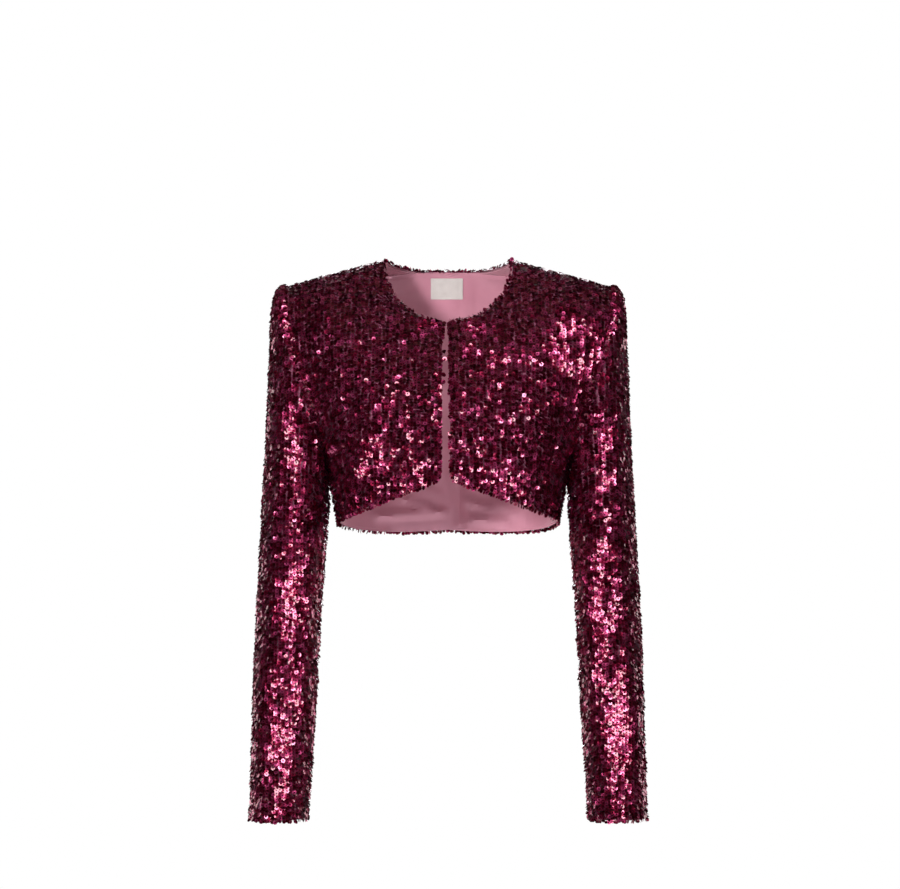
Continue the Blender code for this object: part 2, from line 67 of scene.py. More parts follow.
# Sections of one half of the body, from the hem up to the shoulder seam. "edge" is the end at the centre or
# neckline, "side" the end at the side seam or armhole, and "out" the distance in front of or behind the
# shoulder line. turn is how far the section has turned towards the side, in degrees, full how far its curve
# is blown out, crown how much its middle rises, and shift the edge's share of FRONT_MEETING_X.
SECTION_COLUMNS = (
    "edge_x", "edge_out", "edge_z", "side_x", "side_out", "side_z", "turn", "full", "crown", "shift",
)
FRONT_SECTIONS = (
    ("hem", 0.0075, 0.113, -0.263, 0.1318, 0.0, -0.314, 90, 0.43, 0.0034, 1.0),
    ("above hem", 0.0052, 0.116, -0.248, 0.135, 0.0, -0.293, 90, 0.44, 0.001, 1.0),
    ("midriff", 0.0052, 0.118, -0.228, 0.14, 0.0, -0.265, 90, 0.45, 0.0, 1.0),
    ("underarm", 0.0052, 0.119, -0.204, 0.1465, 0.0, -0.235, 90, 0.47, 0.0, 1.0),
    ("lower armhole", 0.0052, 0.118, -0.187, 0.1478, 0.027, -0.2285, 84, 0.44, 0.0, 1.0),
    ("bust", 0.005, 0.114, -0.167, 0.1512, 0.049, -0.208, 67, 0.44, 0.0, 1.0),
    ("over bust", 0.005, 0.105, -0.143, 0.1605, 0.061, -0.172, 52, 0.43, 0.0, 1.0),
    ("chest", 0.0046, 0.092, -0.117, 0.173, 0.062, -0.13, 40, 0.42, 0.0, 1.0),
    ("upper chest", 0.0036, 0.077, -0.095, 0.1845, 0.056, -0.09, 30, 0.41, 0.001, 1.0),
    ("neck point", 0.002, 0.062, -0.078, 0.19, 0.048, -0.068, 22, 0.4, 0.003, 1.0),
    ("neckline low", 0.029, 0.057, -0.0705, 0.192, 0.039, -0.054, 18, 0.4, 0.006, 0.4),
    ("neckline curve", 0.053, 0.046, -0.055, 0.193, 0.028, -0.043, 15, 0.4, 0.009, 0.0),
    ("neckline side", 0.071, 0.031, -0.033, 0.193, 0.016, -0.036, 12, 0.4, 0.008, 0.0),
    ("neckline top", 0.077, 0.015, -0.011, 0.1922, 0.007, -0.0328, 6, 0.4, 0.004, 0.0),
    ("shoulder seam", 0.0755, 0.0, 0.0, 0.1912, 0.0, -0.032, 0, 0.4, 0.0, 0.0),
)
BACK_SECTIONS = (
    ("hem", 0.0, 0.087, -0.326, 0.1318, 0.0, -0.314, 90, 0.46, -0.0095, 0.0),
    ("above hem", 0.0, 0.089, -0.3, 0.135, 0.0, -0.293, 90, 0.46, -0.004, 0.0),
    ("midriff", 0.0, 0.091, -0.27, 0.14, 0.0, -0.265, 90, 0.47, -0.001, 0.0),
    ("underarm", 0.0, 0.094, -0.238, 0.1465, 0.0, -0.235, 90, 0.49, 0.0, 0.0),
    ("lower armhole", 0.0, 0.097, -0.206, 0.1478, 0.024, -0.2285, 84, 0.44, 0.0, 0.0),
    ("under blade", 0.0, 0.099, -0.173, 0.1515, 0.044, -0.209, 66, 0.43, 0.0, 0.0),
    ("blade", 0.0, 0.099, -0.139, 0.1615, 0.056, -0.173, 51, 0.42, 0.0, 0.0),
    ("over blade", 0.0, 0.095, -0.106, 0.174, 0.057, -0.131, 39, 0.42, 0.0, 0.0),
    ("upper back", 0.0, 0.087, -0.073, 0.185, 0.049, -0.092, 30, 0.41, 0.001, 0.0),
    ("below neck", 0.0, 0.076, -0.041, 0.1905, 0.041, -0.069, 24, 0.41, 0.003, 0.0),
    ("neckline centre", 0.0, 0.063, -0.011, 0.1925, 0.032, -0.054, 19, 0.4, 0.006, 0.0),
    ("neckline low", 0.027, 0.06, -0.0105, 0.1933, 0.023, -0.043, 16, 0.4, 0.008, 0.0),
    ("neckline curve", 0.05, 0.048, -0.008, 0.1932, 0.014, -0.037, 13, 0.4, 0.007, 0.0),
    ("neckline top", 0.069, 0.026, -0.0035, 0.1924, 0.006, -0.0335, 8, 0.4, 0.004, 0.0),
    ("shoulder seam", 0.0755, 0.0, 0.0, 0.1912, 0.0, -0.032, 0, 0.4, 0.0, 0.0),
)
UNDERARM_ROW = 3
TOP_ROW = 14

# Rings of a sleeve, from the armhole down to the cuff. "outer" runs down the arm's outside, "inner" down its
# inside. front and back are the ring's reach from middle_y, square its superellipse exponent, and even how
# far its points have left the armhole's spacing and become even.
RING_COLUMNS = (
    "outer_x", "outer_z", "inner_x", "inner_z", "middle_y", "front", "back", "square", "even",
)
SLEEVE_RINGS = (
    ("armhole", 0.1912, -0.032, 0.1465, -0.235, 0.0, 0.062, 0.057, 2.1, 0.0),
    ("sleeve head", 0.1968, -0.03, 0.1467, -0.2375, 0.0, 0.063, 0.058, 2.1, 0.0),
    ("head turn", 0.2033, -0.0335, 0.1466, -0.241, 0.0, 0.064, 0.06, 2.1, 0.1),
    ("head side", 0.2079, -0.042, 0.1462, -0.245, 0.0, 0.065, 0.061, 2.1, 0.2),
    ("cap top", 0.2106, -0.058, 0.1458, -0.249, 0.0, 0.065, 0.062, 2.1, 0.3),
    ("cap upper", 0.2122, -0.085, 0.1453, -0.253, 0.0, 0.065, 0.062, 2.1, 0.45),
    ("cap middle", 0.2134, -0.118, 0.1448, -0.258, 0.0, 0.064, 0.062, 2.15, 0.6),
    ("cap lower", 0.2148, -0.155, 0.1444, -0.265, 0.0, 0.063, 0.061, 2.2, 0.75),
    ("biceps upper", 0.2166, -0.196, 0.1442, -0.274, 0.0, 0.061, 0.06, 2.2, 0.88),
    ("biceps", 0.2186, -0.242, 0.1448, -0.286, -0.001, 0.06, 0.059, 2.2, 1.0),
    ("upper arm", 0.2213, -0.29, 0.1462, -0.308, -0.001, 0.058, 0.058, 2.2, 1.0),
    ("above elbow", 0.224, -0.34, 0.1486, -0.344, -0.003, 0.056, 0.056, 2.2, 1.0),
    ("elbow top", 0.2266, -0.39, 0.1518, -0.391, -0.006, 0.054, 0.055, 2.2, 1.0),
    ("elbow", 0.2287, -0.435, 0.1543, -0.435, -0.01, 0.052, 0.053, 2.2, 1.0),
    ("below elbow", 0.2303, -0.48, 0.1567, -0.48, -0.015, 0.05, 0.051, 2.2, 1.0),
    ("forearm", 0.2316, -0.525, 0.1592, -0.525, -0.02, 0.048, 0.048, 2.2, 1.0),
    ("forearm low", 0.2326, -0.57, 0.162, -0.57, -0.026, 0.045, 0.045, 2.2, 1.0),
    ("above wrist", 0.2335, -0.608, 0.1648, -0.608, -0.031, 0.043, 0.043, 2.2, 1.0),
    ("wrist", 0.2342, -0.64, 0.1665, -0.64, -0.035, 0.042, 0.042, 2.2, 1.0),
    ("cuff", 0.2348, -0.664, 0.1677, -0.664, -0.038, 0.041, 0.041, 2.2, 1.0),
)

# The cap keeps some of the armhole's own shape for this many rings, fading with this power
CAP_RINGS = 6.0
CAP_FADE = 1.5

# Folds, each a soft ridge or trough along a line seen from the front. rise is out of the cloth, or into
# the body on the lining; width is from the line to where the fold has faded.
FOLD_STEEPNESS = 3.0
FOLD_COLUMNS = ("from_x", "from_z", "to_x", "to_z", "width", "rise")
FRONT_RIGHT_FOLDS = (
    ("beside armhole", -0.166, -0.118, -0.146, -0.214, 0.014, -0.0022),
    ("from bust", -0.092, -0.19, -0.104, -0.31, 0.022, 0.002),
    ("under bust", -0.062, -0.205, -0.066, -0.295, 0.018, -0.0014),
    ("from armhole", -0.14, -0.17, -0.1, -0.205, 0.01, -0.001),
    ("below neck", -0.03, -0.11, -0.07, -0.14, 0.012, 0.0008),
    ("near edge", -0.022, -0.19, -0.028, -0.262, 0.012, 0.001),
)
FRONT_LEFT_FOLDS = (
    ("beside armhole", 0.168, -0.11, 0.148, -0.206, 0.013, -0.002),
    ("from bust", 0.086, -0.186, 0.1, -0.31, 0.022, 0.0018),
    ("under bust", 0.052, -0.212, 0.06, -0.292, 0.017, -0.0016),
    ("from neck", 0.06, -0.075, 0.11, -0.112, 0.012, 0.0012),
    ("towards armhole", 0.07, -0.11, 0.13, -0.1, 0.01, -0.001),
    ("near edge", 0.02, -0.2, 0.03, -0.268, 0.013, 0.0009),
)
BACK_FOLDS = (
    ("right blade", -0.078, -0.15, -0.07, -0.33, 0.024, 0.003),
    ("right of centre", -0.036, -0.19, -0.03, -0.33, 0.018, -0.0022),
    ("left of centre", 0.028, -0.175, 0.026, -0.33, 0.02, 0.0024),
    ("left blade", 0.074, -0.16, 0.066, -0.33, 0.02, -0.0024),
    ("left side", 0.108, -0.17, 0.1, -0.32, 0.018, 0.002),
    ("right shoulder", -0.14, -0.07, -0.1, -0.12, 0.014, -0.0012),
    ("left shoulder", 0.142, -0.066, 0.104, -0.126, 0.014, -0.0012),
)
SLEEVE_FRONT_FOLDS = (
    ("cap", 0.197, -0.15, 0.176, -0.232, 0.015, -0.002),
    ("elbow upper", 0.152, -0.398, 0.196, -0.38, 0.013, -0.003),
    ("elbow middle", 0.154, -0.436, 0.205, -0.424, 0.015, -0.0034),
    ("elbow lower", 0.157, -0.482, 0.196, -0.462, 0.014, -0.0026),
    ("forearm", 0.182, -0.5, 0.196, -0.61, 0.016, 0.0016),
    ("upper arm", 0.17, -0.26, 0.186, -0.35, 0.014, 0.0012),
)
SLEEVE_BACK_FOLDS = (
    ("cap", 0.192, -0.14, 0.17, -0.224, 0.016, -0.0022),
    ("elbow upper", 0.228, -0.402, 0.182, -0.414, 0.014, -0.0024),
    ("elbow lower", 0.229, -0.446, 0.176, -0.456, 0.015, -0.0026),
    ("upper arm", 0.2, -0.25, 0.188, -0.34, 0.016, 0.0012),
)
LINING_FOLDS = (
    ("long ridge", -0.088, -0.309, -0.006, -0.305, 0.01, 0.0064),
    ("diagonal ridge", -0.066, -0.286, -0.024, -0.298, 0.008, 0.0048),
    ("short ridge", -0.04, -0.276, -0.012, -0.284, 0.008, 0.0032),
    ("centre back tuck", 0.003, -0.19, 0.014, -0.322, 0.01, 0.006),
    ("left diagonal", 0.024, -0.292, 0.058, -0.302, 0.009, 0.005),
    ("left swell", 0.062, -0.292, 0.082, -0.306, 0.011, 0.0048),
    ("left ridge", 0.03, -0.314, 0.07, -0.316, 0.009, 0.0044),
    ("side pleat", 0.094, -0.3, 0.098, -0.318, 0.008, 0.004),
    ("neck right", -0.078, -0.02, -0.052, -0.016, 0.012, 0.0034),
    ("neck left", 0.076, -0.018, 0.05, -0.015, 0.012, 0.004),
    ("beside label", 0.022, -0.024, 0.026, -0.052, 0.009, 0.003),
    ("under label", -0.022, -0.054, 0.006, -0.052, 0.009, 0.004),
    ("shoulder blade right", -0.056, -0.07, -0.06, -0.13, 0.018, 0.003),
    ("shoulder blade left", 0.056, -0.066, 0.052, -0.12, 0.018, 0.0028),
)
BODY_FOLDS = {"front_right": FRONT_RIGHT_FOLDS, "front_left": FRONT_LEFT_FOLDS, "back": BACK_FOLDS}

# Small puckers all over the cloth: wavelength, height, and how far from a seam they have grown
PUCKERS = ((0.030, 0.0008), (0.013, 0.00030))
SEAM_FADE = 0.012

# The lining stops this far short of the outer cloth, at the hem and neck, and at the seams. Its puckers are
# taken from elsewhere in the same noise.
LINING_WALL = 0.0009
LINING_EDGE_MARGIN = 0.0028
LINING_SEAM_MARGIN = 0.0016
LINING_PUCKER_SHIFT = np.array([0.0, 0.5, 0.0])

# Rows of sequins. They wander, each in its own way, and the mesh shows where two of them part. Points of a
# disc that are closer than TOUCHING are one.
ROW_PITCH = 0.0041
ROW_WANDER = 0.0020
ROW_WANDER_LENGTH = 0.016
ROW_WANDER_APART = 3.7
ROW_END = 0.0008
SEAM_ROWS = (1, 4, 7, 10)
SEQUIN = {
    "Spacing": 0.0034, "Radius": 0.0027, "Cup": 0.00015, "Film": 0.00014, "Sides": 7, "Stray": 0.0008,
    "Lean": math.radians(-10), "Tilt": math.radians(15), "Spin": math.radians(40),
}
SEQUIN_SMALLEST = 0.92
SEQUIN_LARGEST = 1.06
TOUCHING = 1e-5

# Sequins along an open rim hang out past it, and lie more loosely than those on the cloth. Where the cloth
# faces up, as at the neck, they stand up along its rim. Along the front gap, which is this wide and starts
# this far down, they stay inside the edge.
RIM_OVERHANG = 0.0011
FRONT_EDGE_OVERHANG = -0.0016
FRONT_EDGE_WIDTH = 0.012
FRONT_EDGE_TOP = -0.082
RIM_LEAN = math.radians(-5)
RIM_STAND = math.radians(72)
RIM_STAND_FROM = 0.25
RIM_STAND_FULL = 0.65
RIM_LOOSE = 1.5

# Single sequins that have slipped into the gap from the edge of the right front, each on a guide line that
# is too short for two
SLIPPED_HEIGHTS = (-0.1128, -0.1215, -0.1392, -0.1476)
SLIPPED_OUT = 0.0032
SLIPPED_LINE = SEQUIN["Spacing"] / 10

# How sequins are turned by the cloth under them: nodding up and rolling aside, in soft patches. Where the
# cloth faces up they nod less, not at all from FLAT_FROM on, and keep this share of their ruffle. Where it
# faces down they nod up to UPRIGHT_MOST times as much. The more a sequin is turned, the further it stands
# off the cloth, by this share of its radius, and less on top.
RUFFLE_NOD = math.radians(-16)
FLAT_FROM = 0.45
UPRIGHT_MOST = 1.2
RUFFLE = math.radians(38)
RUFFLE_ON_TOP = 0.6
STAND_OFF = 0.8
STAND_OFF_ON_TOP = 0.4
RUFFLE_LENGTHS = np.array([0.007, 0.007, 0.018])
RUFFLE_APART = 100

# Patches where the sequins lie smooth and shine together, all facing one way, seen from the front: their
# middle, how far they reach either way, and how much of them lies so. The back of a sleeve has the same
# ones. They break up in clusters, and fade where the cloth turns aside.
SMOOTH_TWIST = 0.15
SMOOTH_LOOSE = 0.5
SMOOTH_EDGE = 3.0
SMOOTH_CLUSTERS = np.array([0.011, 0.011, 0.030])
SMOOTH_CLUSTER_MEAN = 1.05
SMOOTH_CLUSTER_SWING = 2.0
SMOOTH_TURN_FROM = 0.35
SMOOTH_TURN_FULL = 0.70
SMOOTH_WAY = np.array([0.04, -0.985, 0.165])
SMOOTH_COLUMNS = ("x", "z", "across", "up", "share")
SMOOTH_PATCHES = {
    "front_right": (
        ("towards side", -0.092, -0.24, 0.025, 0.05, 1.0),
        ("near edge", -0.04, -0.256, 0.022, 0.024, 0.5),
        ("neckline", -0.03, -0.086, 0.034, 0.014, 0.7),
        ("chest", -0.12, -0.15, 0.014, 0.018, 0.6),
        ("side waist", -0.112, -0.285, 0.012, 0.026, 0.7),
    ),
    "front_left": (
        ("shoulder", 0.15, -0.108, 0.05, 0.062, 0.95),
        ("beside armhole", 0.148, -0.178, 0.024, 0.028, 0.8),
        ("near edge", 0.056, -0.262, 0.028, 0.03, 0.55),
        ("neckline", 0.036, -0.084, 0.036, 0.014, 0.7),
        ("across chest", 0.082, -0.122, 0.05, 0.012, 0.8),
        ("chest", 0.026, -0.112, 0.022, 0.014, 0.6),
    ),
    "back": (
        ("right blade", -0.1, -0.13, 0.036, 0.06, 0.8),
        ("left blade", 0.096, -0.14, 0.04, 0.056, 0.9),
        ("right waist", -0.06, -0.27, 0.03, 0.05, 0.8),
        ("left waist", 0.05, -0.262, 0.028, 0.054, 0.7),
    ),
    "sleeve": (
        ("upper arm", 0.186, -0.235, 0.017, 0.11, 0.85),
        ("elbow", 0.184, -0.4, 0.028, 0.11, 0.85),
        ("forearm", 0.202, -0.56, 0.025, 0.13, 0.85),
        ("cap", 0.2, -0.085, 0.01, 0.05, 0.5),
        ("inner forearm", 0.18, -0.5, 0.014, 0.09, 0.75),
    ),
}

# The cloth panels, each with the CAD nodes it stands for, and its flat cut's width and length, and area
CUT_OF = {
    "front_right": (["front_right"], (0.200, 0.315), 0.052),
    "front_left": (["front_left"], (0.200, 0.315), 0.052),
    "back": (["back_right", "back_left"], (0.405, 0.330), 0.125),
    "sleeve_right": (["sleeve_right_upper", "sleeve_right_lower"], (0.340, 0.640), 0.165),
    "sleeve_left": (["sleeve_left_upper", "sleeve_left_lower"], (0.340, 0.640), 0.165),
}

# The label
LABEL_WIDTH = 0.039
LABEL_HEIGHT = 0.025
LABEL_X = -0.0019
LABEL_Z = -0.0318
LABEL_ACROSS = 26
LABEL_UP = 16
LABEL_CLEARANCE = 0.0007
LABEL_WALL = 0.0006

# Sequin film: bright coloured metal under clear plastic, its tones from the darkest disc to the brightest
SEQUIN_FILM = {"Metallic": 0.97, "Coat Roughness": 0.12, "Coat IOR": 1.6}
SEQUIN_TONES = ((0.0, (0.10, 0.001, 0.011)), (0.5, (0.31, 0.008, 0.050)), (1.0, (0.66, 0.080, 0.24)))
SEQUIN_HOLE = ((0.14, (0.03, 0.01, 0.02)), (0.17, (1, 1, 1)))
SEQUIN_ROUGHNESS = {"To Min": 0.30, "To Max": 0.40}

# Cloths: colours from a thread's shaded side to its lit one, painted light and shade mixed with uneven tone,
# values for THREAD_INPUTS, the height of the weave, and the shader's own inputs
THREAD_INPUTS = ("Pitch Across", "Pitch Up", "Cloud Size", "Cloud Flow")
THREAD_SHADE = 0.35
CLOUD_DETAIL = 3.0
CLOUD_RISE = 0.6
# The mesh backing is painted mostly in dark shade, with streaks of painted light where its threads would be
# lit
NET = (
    "sequin mesh", ((0.40, (0.045, 0.004, 0.014)), (0.58, (0.50, 0.14, 0.25))),
    (0.0009, 0.0009, 0.004, 0.25), 0.0001, {"Roughness": 0.75},
)
SATIN = (
    "satin", ((0.2, (0.59, 0.25, 0.33)), (0.8, (0.71, 0.33, 0.42))),
    (0.00035, 0.0006, 0.03, 1.0), 0.00002,
    {"Roughness": 0.44, "Metallic": 0.20, "Sheen Weight": 0.25, "Specular IOR Level": 0.6},
)
LABEL = (
    "label tape", ((0.2, (0.56, 0.52, 0.495)), (0.8, (0.69, 0.655, 0.63))),
    (0.0005, 0.0007, 0.01, 1.0), 0.00008, {"Roughness": 0.8},
)

# The room. What the jacket mirrors differs from what falls on its cloth.
FLOOR_RADIUS = 1.2
FLOOR_SIDES = 96
FLOOR_Z = -0.95
FLOOR_COLOUR = (0.86, 0.86, 0.87)
FLOOR_ROUGHNESS = 0.7
WHITE = (1, 1, 1)
BACKDROP_COLOUR = (*WHITE, 1)
ROOM_COLOUR = (1.0, 0.99, 0.98, 1)
ROOM_STRENGTH = 0.60
MIRRORED_COLOUR = (1.0, 0.66, 0.62, 1)
MIRRORED_STRENGTH = 0.018
CEILING_STRENGTH = 0.28
CEILING_FROM = 0.90
LIT_POINT = Vector((0.0, 0.0, -0.3))
COOL = (0.97, 0.94, 1.0)
WARM = (1.0, 0.86, 0.88)
LIGHT_COLUMNS = ("place", "size", "watts", "colour", "falls_on_cloth", "mirrored")
LIGHTS = (
    ("front, above", (0.35, -4.2, 1.1), 1.7, 92, COOL, False, True),
    ("behind", (0.0, 4.2, 0.6), 1.8, 60, COOL, True, True),
    ("behind, above", (0.0, 3.2, 2.8), 2.2, 7, WARM, False, True),
    ("backdrop, right", (-3.0, 2.6, -0.3), 2.4, 28, WARM, True, True),
    ("backdrop, left", (3.0, 2.6, -0.3), 2.4, 28, WARM, True, True),
    ("front, right", (-1.4, -3.0, 0.4), 0.5, 98, WHITE, True, False),
    ("front, low", (0.0, -2.4, -1.7), 0.5, 62, WHITE, True, False),
)

# The view
SENSOR_WIDTH = 36.0
CAMERA_DISTANCE = 4.0
VIEW_WIDTH = 1.08
VIEW_MIDDLE_X = 0.0020
VIEW_MIDDLE_Z = -0.2214


def named(columns, row):
    return SimpleNamespace(**dict(zip(columns, row)))


def read_rows(rows, places):
    """Rows of a table at places between its own, each column carried by a monotone cubic."""
    table = np.array([row[1:] for row in rows], float)
    gaps = np.diff(table, axis=0)
    before, after = gaps[:-1], gaps[1:]
    same_way = before * after > 0
    both = np.where(same_way, before + after, 1.0)
    slopes = np.vstack([gaps[:1], np.where(same_way, 2 * before * after / both, 0.0), gaps[-1:]])
    first = np.minimum(np.asarray(places).astype(int), len(table) - 2)
    part = (np.asarray(places) - first)[:, None]
    rest = 1 - part
    return (
        table[first] * (1 + 2 * part) * rest**2
        + slopes[first] * part * rest**2
        + table[first + 1] * (1 + 2 * rest) * part**2
        - slopes[first + 1] * rest * part**2
    )


def places_between(first, last, steps):
    return first + np.arange((last - first) * steps + 1) / steps


def body_places():
    low = places_between(0, UNDERARM_ROW, BODY_STEPS_BELOW_ARM)
    return np.concatenate([low[:-1], places_between(UNDERARM_ROW, TOP_ROW, BODY_STEPS_ABOVE_ARM)])


def section(row, forward, side):
    """Points of one section from its edge to its side. forward is -1 in front and 1 behind."""
    cut = named(SECTION_COLUMNS, row)
    run = cut.side_x - cut.edge_x
    chord = math.hypot(run, cut.side_out - cut.edge_out)
    reach = cut.full * chord
    turn = math.radians(cut.turn)
    x = (cut.edge_x, cut.edge_x + reach, cut.side_x - reach * math.cos(turn), cut.side_x)
    out = (cut.edge_out, cut.edge_out, cut.side_out + reach * math.sin(turn), cut.side_out)
    u = np.linspace(0, 1, ACROSS_HALF + 1)
    weights = np.array([(1 - u) ** 3, 3 * u * (1 - u) ** 2, 3 * u**2 * (1 - u), u**3])
    across = np.array(x) @ weights
    share = (across - cut.edge_x) / run
    up = cut.edge_z + (cut.side_z - cut.edge_z) * share + 4 * cut.crown * u * (1 - u)
    meeting = cut.shift * FRONT_MEETING_X * (1 - share) ** 2
    return np.stack([side * across + meeting, forward * (np.array(out) @ weights), up], axis=1)


def half_body(rows, forward, side):
    return np.array([section(row, forward, side) for row in read_rows(rows, body_places())])


def armhole(side):
    """The armhole's points, from the shoulder tip down the front to the underarm and up the back."""
    places = places_between(UNDERARM_ROW, TOP_ROW, BODY_STEPS_ABOVE_ARM)
    loops = []
    for rows, forward in ((FRONT_SECTIONS, -1), (BACK_SECTIONS, 1)):
        ends = np.array([section(row, forward, side)[-1] for row in read_rows(rows, places)])
        loops.append(ends[::-1])
    return np.concatenate([loops[0], loops[1][-2:0:-1]])


def down_share(loop, half):
    """How far down the armhole each of its points lies, from 0 at the shoulder to 1 at the underarm."""
    steps = np.linalg.norm(np.diff(loop, axis=0, append=loop[:1]), axis=1)
    front = np.concatenate([[0], np.cumsum(steps[:half])]) / steps[:half].sum()
    back = 1 - np.cumsum(steps[half:])[:-1] / steps[half:].sum()
    return np.concatenate([front, back])


def ring(row, shares, half, side):
    """One oval ring of a sleeve, its first point on the outside of the arm."""
    cut = named(RING_COLUMNS, row)
    even = np.concatenate([np.arange(half + 1), np.arange(half - 1, 0, -1)]) / half
    angle = math.pi * (shares + (even - shares) * cut.even)
    power = 2 / cut.square
    along = np.sign(np.cos(angle)) * np.abs(np.cos(angle)) ** power
    aside = np.abs(np.sin(angle)) ** power
    reach = np.where(np.arange(len(angle)) <= half, -cut.front, cut.back)
    x = (cut.outer_x + cut.inner_x) / 2 + along * (cut.outer_x - cut.inner_x) / 2
    z = (cut.outer_z + cut.inner_z) / 2 + along * (cut.outer_z - cut.inner_z) / 2
    return np.stack([side * x, cut.middle_y + aside * reach, z], axis=1)


def sleeve_rings(side):
    """Rings that start as the armhole itself and leave its shape over the sleeve cap."""
    loop = armhole(side)
    half = len(loop) // 2
    shares = down_share(loop, half)
    places = places_between(0, len(SLEEVE_RINGS) - 1, SLEEVE_STEPS)
    rings = [ring(row, shares, half, side) for row in read_rows(SLEEVE_RINGS, places)]
    own_shape = loop - rings[0]
    fade = np.clip(1 - places / CAP_RINGS, 0, 1) ** CAP_FADE
    return np.array([points + keep * own_shape for points, keep in zip(rings, fade)])


def grid_faces(rows, columns, closed, flip):
    """Four-sided faces over a grid of points, closed round the columns or not."""
    faces = []
    for i in range(rows - 1):
        for j in range(columns if closed else columns - 1):
            after = (j + 1) % columns
            face = (i * columns + j, i * columns + after, (i + 1) * columns + after, (i + 1) * columns + j)
            faces.append(face[::-1] if flip else face)
    return faces


def place(point):
    return tuple(np.round(point, POINT_DECIMALS))


def joined(grids, closed, flips):
    """One surface from one or more grids of points. Points that they share are made one.

    Gives its points, its faces and, for each grid, where its points are among them.
    """
    found, points, faces, indexes = {}, [], [], []
    for grid, flip in zip(grids, flips):
        index = []
        for point in grid.reshape(-1, 3):
            key = place(point)
            if key not in found:
                found[key] = len(points)
                points.append(point)
            index.append(found[key])
        indexes.append(np.array(index).reshape(grid.shape[:2]))
        faces += [tuple(index[i] for i in face) for face in grid_faces(*grid.shape[:2], closed, flip)]
    return np.array(points), faces, indexes


def surface_of(name):
    """The outer face of one cloth panel."""
    side = -1 if name.endswith("right") else 1
    if name.startswith("front"):
        return joined([half_body(FRONT_SECTIONS, -1, side)], False, [side < 0])
    if name == "back":
        return joined([half_body(BACK_SECTIONS, 1, way) for way in (-1, 1)], False, [False, True])
    return joined([sleeve_rings(side)], True, [side < 0])


def edges_of(faces):
    """The open edges of a surface, each in the direction its one face runs it."""
    runs = [edge for face in faces for edge in zip(face, face[1:] + face[:1])]
    known = set(runs)
    return [edge for edge in runs if edge[::-1] not in known]


def rim_of(faces):
    return sorted({i for edge in edges_of(faces) for i in edge})


def face_turns(points, faces):
    """For each point, the normals of the faces round it, added up by their size."""
    corners = points[np.array(faces)]
    turned = np.cross(corners[:, 2] - corners[:, 0], corners[:, 3] - corners[:, 1])
    total = np.zeros_like(points)
    for i in range(4):
        np.add.at(total, np.array(faces)[:, i], turned)
    return total


def towards_middles(values, faces):
    """For each point, how far a value given at the points changes to the middles of the faces round it."""
    corners = np.array(faces)
    middles = values[corners].mean(axis=1)
    total, count = np.zeros_like(values), np.zeros(len(values))
    for i in range(4):
        np.add.at(total, corners[:, i], middles - values[corners[:, i]])
        np.add.at(count, corners[:, i], 1)
    return total / count[:, None]


def unit(vectors):
    return vectors / np.linalg.norm(vectors, axis=-1, keepdims=True)


def fold_rise(points, rows):
    """How far a table of folds lifts each point."""
    rise = np.zeros(len(points))
    for row in rows:
        fold = named(FOLD_COLUMNS, row[1:])
        start = np.array([fold.from_x, fold.from_z])
        run = np.array([fold.to_x, fold.to_z]) - start
        offset = points[:, [0, 2]] - start
        along = np.clip(offset @ run / (run @ run), 0, 1)
        away = np.linalg.norm(offset - along[:, None] * run, axis=1) / fold.width
        rise += fold.rise * np.exp(-FOLD_STEEPNESS * away**2)
    return rise


def rise_on(name, points):
    """How far the folds lift a panel's points. A sleeve has some folds in front and others behind."""
    if name in BODY_FOLDS:
        return fold_rise(points, BODY_FOLDS[name])
    as_left = points * (1 if name.endswith("left") else -1, 1, 1)
    in_front, behind = fold_rise(as_left, SLEEVE_FRONT_FOLDS), fold_rise(as_left, SLEEVE_BACK_FOLDS)
    return np.where(as_left[:, 1] < 0, in_front, behind)


def soft_noise(points, wavelength):
    return np.array([noise.noise(Vector(point) / wavelength) for point in points])


def pucker_on(points):
    return sum(height * soft_noise(points, wavelength) for wavelength, height in PUCKERS)


def away_from(points, spots):
    """How far each point lies from the nearest of some spots."""
    far = np.full(len(points), np.inf)
    for spot in spots:
        far = np.minimum(far, ((points - spot) ** 2).sum(axis=1))
    return np.sqrt(far)


def cut_panels():
    """Every cloth panel: its points, faces and the way out of it, with folds and puckers, parted at seams."""
    surfaces = {name: surface_of(name) for name in CUT_OF}
    body_normals, meeting = {}, {}
    for name, (points, faces, _) in surfaces.items():
        turned = face_turns(points, faces)
        for i in rim_of(faces):
            spot = place(points[i])
            meeting[spot] = meeting.get(spot, 0) + 1
            if name in BODY_FOLDS:
                body_normals[spot] = body_normals.get(spot, 0) + turned[i]
    panels = {}
    for name, (points, faces, indexes) in surfaces.items():
        turned, inward = face_turns(points, faces), unit(towards_middles(points, faces))
        on_seam = [i for i in rim_of(faces) if meeting[place(points[i])] > 1]
        if name in BODY_FOLDS:
            for i in on_seam:
                turned[i] = body_normals[place(points[i])]
        normals = unit(turned)
        grown = np.clip(away_from(points, points[on_seam]) / SEAM_FADE, 0, 1)
        rise = (rise_on(name, points) + pucker_on(points)) * grown**2 * (3 - 2 * grown)
        moved = points + normals * rise[:, None]
        fresh = unit(face_turns(moved, faces))
        fresh[on_seam] = normals[on_seam]
        moved[on_seam] += inward[on_seam] * SEAM_SHIFT
        panels[name] = SimpleNamespace(
            name=name, points=moved, faces=faces, out=fresh, on_seam=set(on_seam), indexes=indexes,
        )
    return panels


def seen_from_above(grid):
    """How far along each section of a grid its points lie from its first one, seen from above."""
    steps = np.linalg.norm(np.diff(grid[:, :, :2], axis=1), axis=2)
    return np.concatenate([np.zeros((len(grid), 1)), np.cumsum(steps, axis=1)], axis=1)


